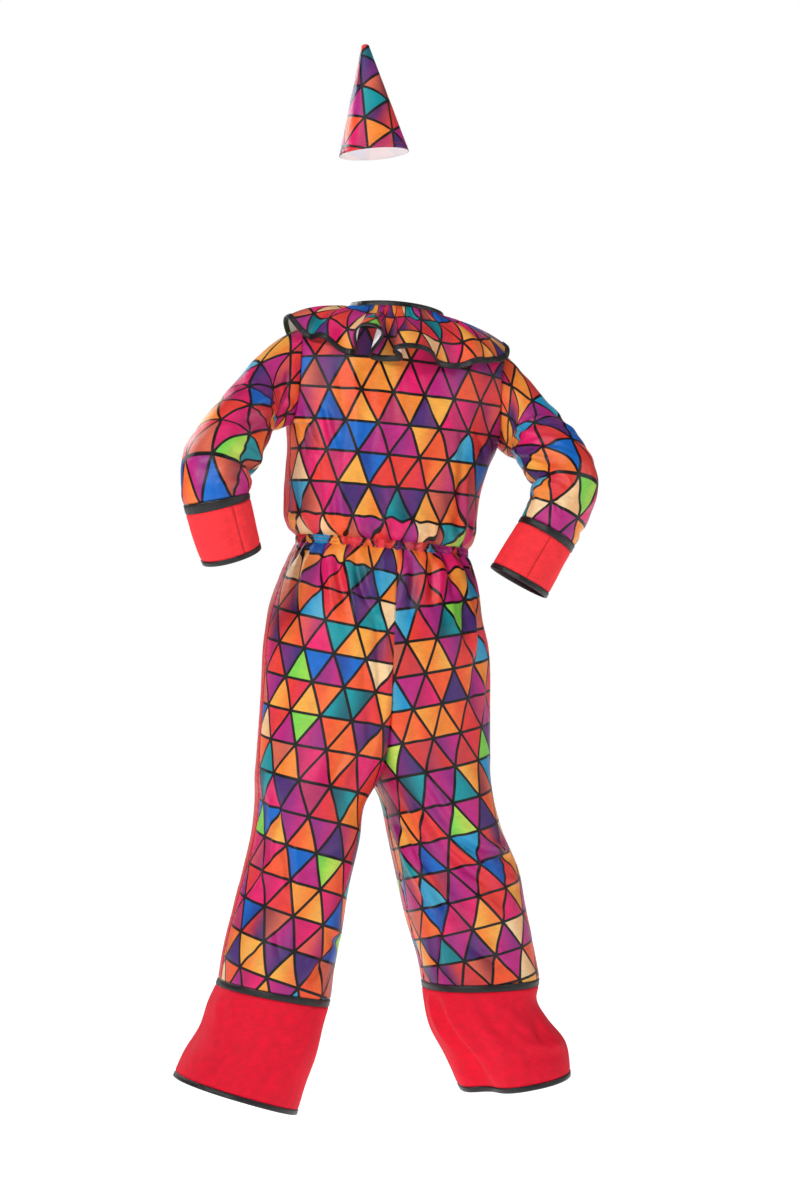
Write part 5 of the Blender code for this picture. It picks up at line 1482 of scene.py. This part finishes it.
def print_pattern(graph, u, v):
    """Rows of upright and inverted triangles between black lines, each with its own chance colours."""
    rows = graph.math("DIVIDE", v, ROW_TALL)
    lean = graph.math("MULTIPLY", rows, 0.5)
    along = graph.math("SUBTRACT", graph.math("DIVIDE", u, TRIANGLE_WIDE), lean)
    row, column = graph.math("FLOOR", rows), graph.math("FLOOR", along)
    in_row, in_column = graph.math("FRACT", rows), graph.math("FRACT", along)
    both = graph.math("ADD", in_row, in_column)
    upper = graph.math("GREATER_THAN", both, 1.0)
    slanted = ROW_TALL * TRIANGLE_WIDE / math.hypot(ROW_TALL, TRIANGLE_WIDE / 2)
    nearest = 1.0
    for share, tall in ((in_row, ROW_TALL), (in_column, slanted), (graph.math("FRACT", both), slanted)):
        edge = graph.math("MINIMUM", share, graph.math("SUBTRACT", 1.0, share))
        nearest = graph.math("MINIMUM", nearest, graph.math("MULTIPLY", edge, tall))
    cell = graph.vector(column, row, upper)
    own, strength, turned = (graph.chance(graph.shifted(cell, seed)) for seed in CHANCE_SEEDS)
    first, second = (graph.ramp(own, palette_stops(which)) for which in (1, 2))
    # Each triangle fades sideways from its first colour into its second one, in either direction.
    beside = graph.math("MULTIPLY_ADD", in_row, 0.5, graph.math("MULTIPLY_ADD", upper, -0.5, in_column))
    other = graph.math("SUBTRACT", 1.0, beside)
    flip = graph.math("GREATER_THAN", turned, 0.5)
    way = graph.math("ADD", graph.math("MULTIPLY", beside, flip),
                     graph.math("MULTIPLY", other, graph.math("SUBTRACT", 1.0, flip)))
    fade = graph.math("MULTIPLY", graph.spread(way, *FADE_ACROSS), graph.spread(strength, *FADE_STRONG))
    ink = graph.spread(nearest, LINE_HALF - LINE_SOFT, LINE_HALF + LINE_SOFT, 1.0, 0.0)
    return graph.mix(fade, first, second), ink


def palette_stops(which):
    """Where each colour of the palette starts on a scale from 0 to 1. which is 1 for the triangles'
    first colours and 2 for their second ones."""
    total = sum(entry[0] for entry in PALETTE)
    stops, start = [], 0.0
    for entry in PALETTE:
        stops.append((start / total, linear(entry[which])))
        start += entry[0]
    return stops


def print_material():
    """The printed satin's face, with a painted sheen and shade in its colours."""
    graph = Graph("printed_satin")
    u, v = graph.cut()
    filled, ink = print_pattern(graph, u, v)
    normal, gloss = satin_surface(graph, u, v)
    # Painted sheen and shade: the print is lighter where the streaks' and crumples' noise is high and darker
    # where it is low.
    painted_sheen = graph.spread(gloss, *GLOSS, *PRINT_PAINTED_SHEEN)
    uneven = graph.mix(1.0, filled, graph.vector(painted_sheen, painted_sheen, painted_sheen), "MULTIPLY")
    colour = graph.mix(ink, uneven, linear(INK))
    roughness = graph.spread(gloss, *GLOSS, *PRINT_ROUGH)
    return graph.finish(colour, roughness, normal, Specular_IOR_Level=0.38)


def reverse_material():
    """The print's reverse: nearly white cloth with the print showing faintly through, glowing as painted
    light.
    """
    graph = Graph("satin_reverse")
    u, v = graph.cut()
    filled, ink = print_pattern(graph, u, v)
    printed = graph.mix(graph.math("MULTIPLY", ink, REVERSE_INK), filled, linear(INK))
    normal, gloss = satin_surface(graph, u, v)
    colour = graph.mix(REVERSE_PRINT, linear(REVERSE), printed)
    roughness = graph.spread(gloss, *GLOSS, *REVERSE_ROUGH)
    # The white emission is painted light: a glow that lightens the reverse where it lies in shade.
    return graph.finish(colour, roughness, normal, Specular_IOR_Level=0.3,
                        Emission_Color=(1, 1, 1, 1), Emission_Strength=REVERSE_PAINTED_GLOW)


def plain_material(name, colour, rough, crumple, level):
    """Cloth of one colour, uneven in gloss and a little in depth, with a painted sheen and shade in its
    colour.
    """
    graph = Graph(name)
    normal, gloss = satin_surface(graph, *graph.cut(), crumple)
    # Painted sheen and shade: a darker and a lighter copy of the colour, mixed by the streaks' and crumples'
    # noise.
    low, high = (linear(colour, factor) for factor in PLAIN_PAINTED_SHEEN)
    uneven = graph.mix(graph.spread(gloss, *GLOSS, 0.0, 1.0), low, high)
    roughness = graph.spread(gloss, *GLOSS, *(rough + more for more in PLAIN_ROUGH))
    return graph.finish(uneven, roughness, normal, Specular_IOR_Level=level)


def thread_material(name, colour):
    """Sewing thread with its twist, and painted shade and highlight along the twist."""
    graph = Graph(name)
    twist = graph.math("SINE", graph.math("MULTIPLY", graph.math("ADD", *graph.cut()), 2 * math.pi / TWIST))
    # The colour follows the twist's relief: painted shade in its grooves and a painted highlight on its
    # crests.
    low, high = (linear(colour, factor) for factor in TWIST_PAINTED_SHADE)
    uneven = graph.mix(graph.spread(twist, -1.0, 1.0, 0.0, 1.0), low, high)
    normal = graph.bump(twist, TWIST_RELIEF)
    return graph.finish(uneven, THREAD_ROUGH, normal, Sheen_Weight=0.1, Sheen_Roughness=0.5)


# ---- Everything together ----


def keep(name, piece, slot, *nodes):
    """Hangs a piece on the root and hides the nodes it replaces. slot is not used."""
    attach(piece, "root")
    if nodes:
        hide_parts(*nodes)


def add_sheet(node, cloth):
    """A piece of cloth."""
    look = SHEETS[node].look
    piece = sheet_object(f"{node}_cloth", cloth, FACES[look], SHEETS[node].start)
    keep(node, piece, "print" if look == "print" else "red", node)


def add_band(node, rings, closed):
    """A band of black satin."""
    keep(node, tube_object(f"{node}_satin", rings, closed, FACES["black"][0]), "black", node)


def add_stitches(name, thread, *rows):
    """Rows of stitches joined into one piece. Each row is a line and its way out of the cloth."""
    points, faces, count = [], [], 0
    for row in rows:
        row_points, row_faces = stitches(*row)
        points.append(row_points)
        faces.append(row_faces + count)
        count += len(row_points)
    points, faces = np.concatenate(points), np.concatenate(faces)
    uvs = points[:, :2] + points[:, 2:]
    material, slot = THREADS[thread]
    keep(name, mesh_object(name, points, faces, uvs, faces, (material,), np.zeros(len(faces))), slot)


def add_bodice():
    """The back, both fronts, their overlap, the waist casing and the neckband."""
    placket, casing = placket_cloth(), casing_cloth()
    rings, neck_row = neckband()
    add_sheet("bodice_back", bodice_cloth("bodice_back", 1, 0, 1))
    add_sheet("bodice_front_left", bodice_cloth("bodice_front_left", -1, 0, 0.5))
    add_sheet("bodice_front_right", bodice_cloth("bodice_front_right", -1, 0.5, 1))
    add_sheet("front_placket", placket)
    add_sheet("waist_casing", casing)
    add_band("neckband", rings, False)
    rows = [cloth_line(placket, column=column) for column in PLACKET_STITCH_COLUMNS]
    add_stitches("placket_stitches", "red", *rows)
    rows = [cloth_line(casing, row=row) for row in CASING_STITCH_ROWS]
    add_stitches("casing_stitches", "print", *rows)
    add_stitches("neck_stitches", "black", neck_row)


def add_collar():
    """The gathered ruffle with its binding."""
    rings, row = collar_binding()
    add_sheet("collar_ruffle", collar_cloth())
    add_band("collar_binding", rings, False)
    add_stitches("collar_stitches", "black", row)


def add_trims(node, ring, edges, *sewn):
    """The black strips at both edges of a cuff or a leg band, with their stitches. sewn names what else is
    sewn to it; it is not used."""
    kind, side = node.split("_")[-2:]
    rows = []
    for (name, (section, more, shares)), (first, last) in zip(TRIMS.items(), edges):
        trim = f"{kind}_trim_{name}_{side}"
        lines = ring(first), ring(last)
        rings = band_section(*lines, section, True, TRIM_UNEVEN, TRIM_SEEDS[node] + more)
        add_band(trim, rings, True)
        rows += [band_line(*lines, share, True) for share in shares]
        sewn += (trim,)
    add_stitches(f"{kind}_stitches_{side}", "black", *rows)


def add_sleeve(side):
    """A sleeve with its cuff, the cuff's seam with dark stitches as painted shade along it, and its strips.
    """
    ring = partial(sleeve_ring, side, armhole(side))
    sleeve, cuff, seam = f"sleeve_{side}", f"cuff_{side}", f"cuff_seam_shade_{side}"
    end = ARMS[side][-1].along
    top, hem = end - CUFF_TALL, end - HEM_TRIM_TALL
    add_sheet(sleeve, tube_cloth(sleeve, ring, 0.0, top - TOP_TRIM_TALL, SLEEVE_ROWS))
    cloth = tube_cloth(cuff, ring, top, hem, CUFF_ROWS)
    add_sheet(cuff, cloth)
    # Dark stitches along the cuff's seam: painted shade, a dark line where the seam's groove lies in shade.
    add_stitches(seam, "seam", cloth_line(cloth, column=CUFF_SEAMS[cuff][0]))
    add_trims(cuff, ring, ((top - TOP_TRIM_TALL, top), (hem, end)), seam)


def add_leg(side):
    """A trouser leg's two panels with its band and the band's strips."""
    ring = partial(leg_ring, side)
    band, back, front = f"leg_band_{side}", f"trouser_back_{side}", f"trouser_front_{side}"
    top, hem = BAND_TOP[side] + TOP_TRIM_TALL, HEM[side] - HEM_TRIM_TALL
    add_sheet(back, trouser_cloth(back, side, 1))
    add_sheet(front, trouser_cloth(front, side, -1))
    add_sheet(band, tube_cloth(band, ring, top, hem, BAND_ROWS))
    add_trims(band, ring, ((BAND_TOP[side], top), (hem, HEM[side])))


def add_hat():
    """The hat with the stitches of its hem."""
    cloth = hat_cloth()
    add_sheet("hat_cone", cloth)
    add_stitches("hat_stitches", "print", cloth_line(cloth, row=HAT_STITCH_ROW))


def add_light(name, place, target, size, power):
    """A square lamp at a place, turned to a target."""
    light = bpy.data.lights.new(name, "AREA")
    light.size = size
    light.energy = power
    turned = (Vector(target) - Vector(place)).to_track_quat("-Z", "Y").to_matrix().to_4x4()
    add_object(name, light).matrix_world = Matrix.Translation(place) @ turned


def studio_world():
    """White behind the costume as the photo sees it, and dimmer all round."""
    world = bpy.data.worlds.new("studio")
    world.use_nodes = True
    tree = world.node_tree
    place = tree.nodes.new("ShaderNodeTexCoord")
    towards = tree.nodes.new("ShaderNodeVectorMath")
    towards.operation = "DOT_PRODUCT"
    towards.inputs[1].default_value = (-math.sin(TURNED), -math.cos(TURNED), 0)
    spread = tree.nodes.new("ShaderNodeMapRange")
    spread.interpolation_type = "SMOOTHSTEP"
    for name, value in zip(("From Min", "From Max", "To Min", "To Max"), (*SKY_FADE, SKY_ROUND, SKY_BEHIND)):
        spread.inputs[name].default_value = value
    background = tree.nodes["Background"]
    background.inputs[0].default_value = (1, 1, 1, 1)
    tree.links.new(place.outputs["Generated"], towards.inputs[0])
    tree.links.new(towards.outputs["Value"], spread.inputs["Value"])
    tree.links.new(spread.outputs[0], background.inputs[1])
    return world


def add_stage():
    """The camera, a pale floor and soft studio light."""
    view = bpy.data.cameras.new("camera")
    view.sensor_fit = "VERTICAL"
    view.sensor_height = CAMERA_SENSOR
    view.lens = CAMERA_LENS
    right = Vector((-math.cos(TURNED), math.sin(TURNED), 0))
    back = Vector((math.sin(TURNED), math.cos(TURNED), 0))
    place = back * CAMERA_AWAY + right * CAMERA_RIGHT + Vector((0, 0, CAMERA_HIGH))
    rows = [(right[i], (0, 0, 1)[i], back[i], place[i]) for i in range(3)]
    camera = add_object("camera", view)
    camera.matrix_world = Matrix(rows + [(0, 0, 0, 1)])
    bpy.context.scene.camera = camera
    floor = bpy.data.meshes.new("floor")
    corners = [(x * FLOOR_HALF, y * FLOOR_HALF, FLOOR_UP) for x, y in ((-1, -1), (1, -1), (1, 1), (-1, 1))]
    floor.from_pydata(corners, [], [(0, 1, 2, 3)])
    graph = Graph("floor")
    graph.finish(linear(FLOOR_COLOUR), FLOOR_ROUGH, graph.bump(0.0, MM),
                 Emission_Color=(1, 1, 1, 1), Emission_Strength=FLOOR_GLOW)
    floor.materials.append(graph.material)
    add_object("floor", floor)
    bpy.context.scene.world = studio_world()
    bpy.context.scene.view_settings.view_transform = "Standard"
    for lamp in LAMPS:
        add_light(*lamp)


# Each look's face and reverse, and each thread's material and slot
FACES = {look: (plain_material(*cloth),) * 2 for look, cloth in PLAIN_CLOTHS.items()}
FACES["print"] = (print_material(), reverse_material())
THREADS = {
    "red": (thread_material("red_thread", THREAD_RED), "red"),
    "black": (thread_material("black_thread", THREAD_BLACK), "black"),
    "print": (thread_material("red_thread_on_print", THREAD_RED), "print"),
    # seam: stitches made darker as painted shade along each cuff's seam
    "seam": (thread_material("seam_shade_thread", SEAM_SHADE_THREAD), "red"),
}

add_bodice()
add_collar()
for part in (add_leg, add_sleeve):
    part("left")
    part("right")
add_hat()
add_stage()
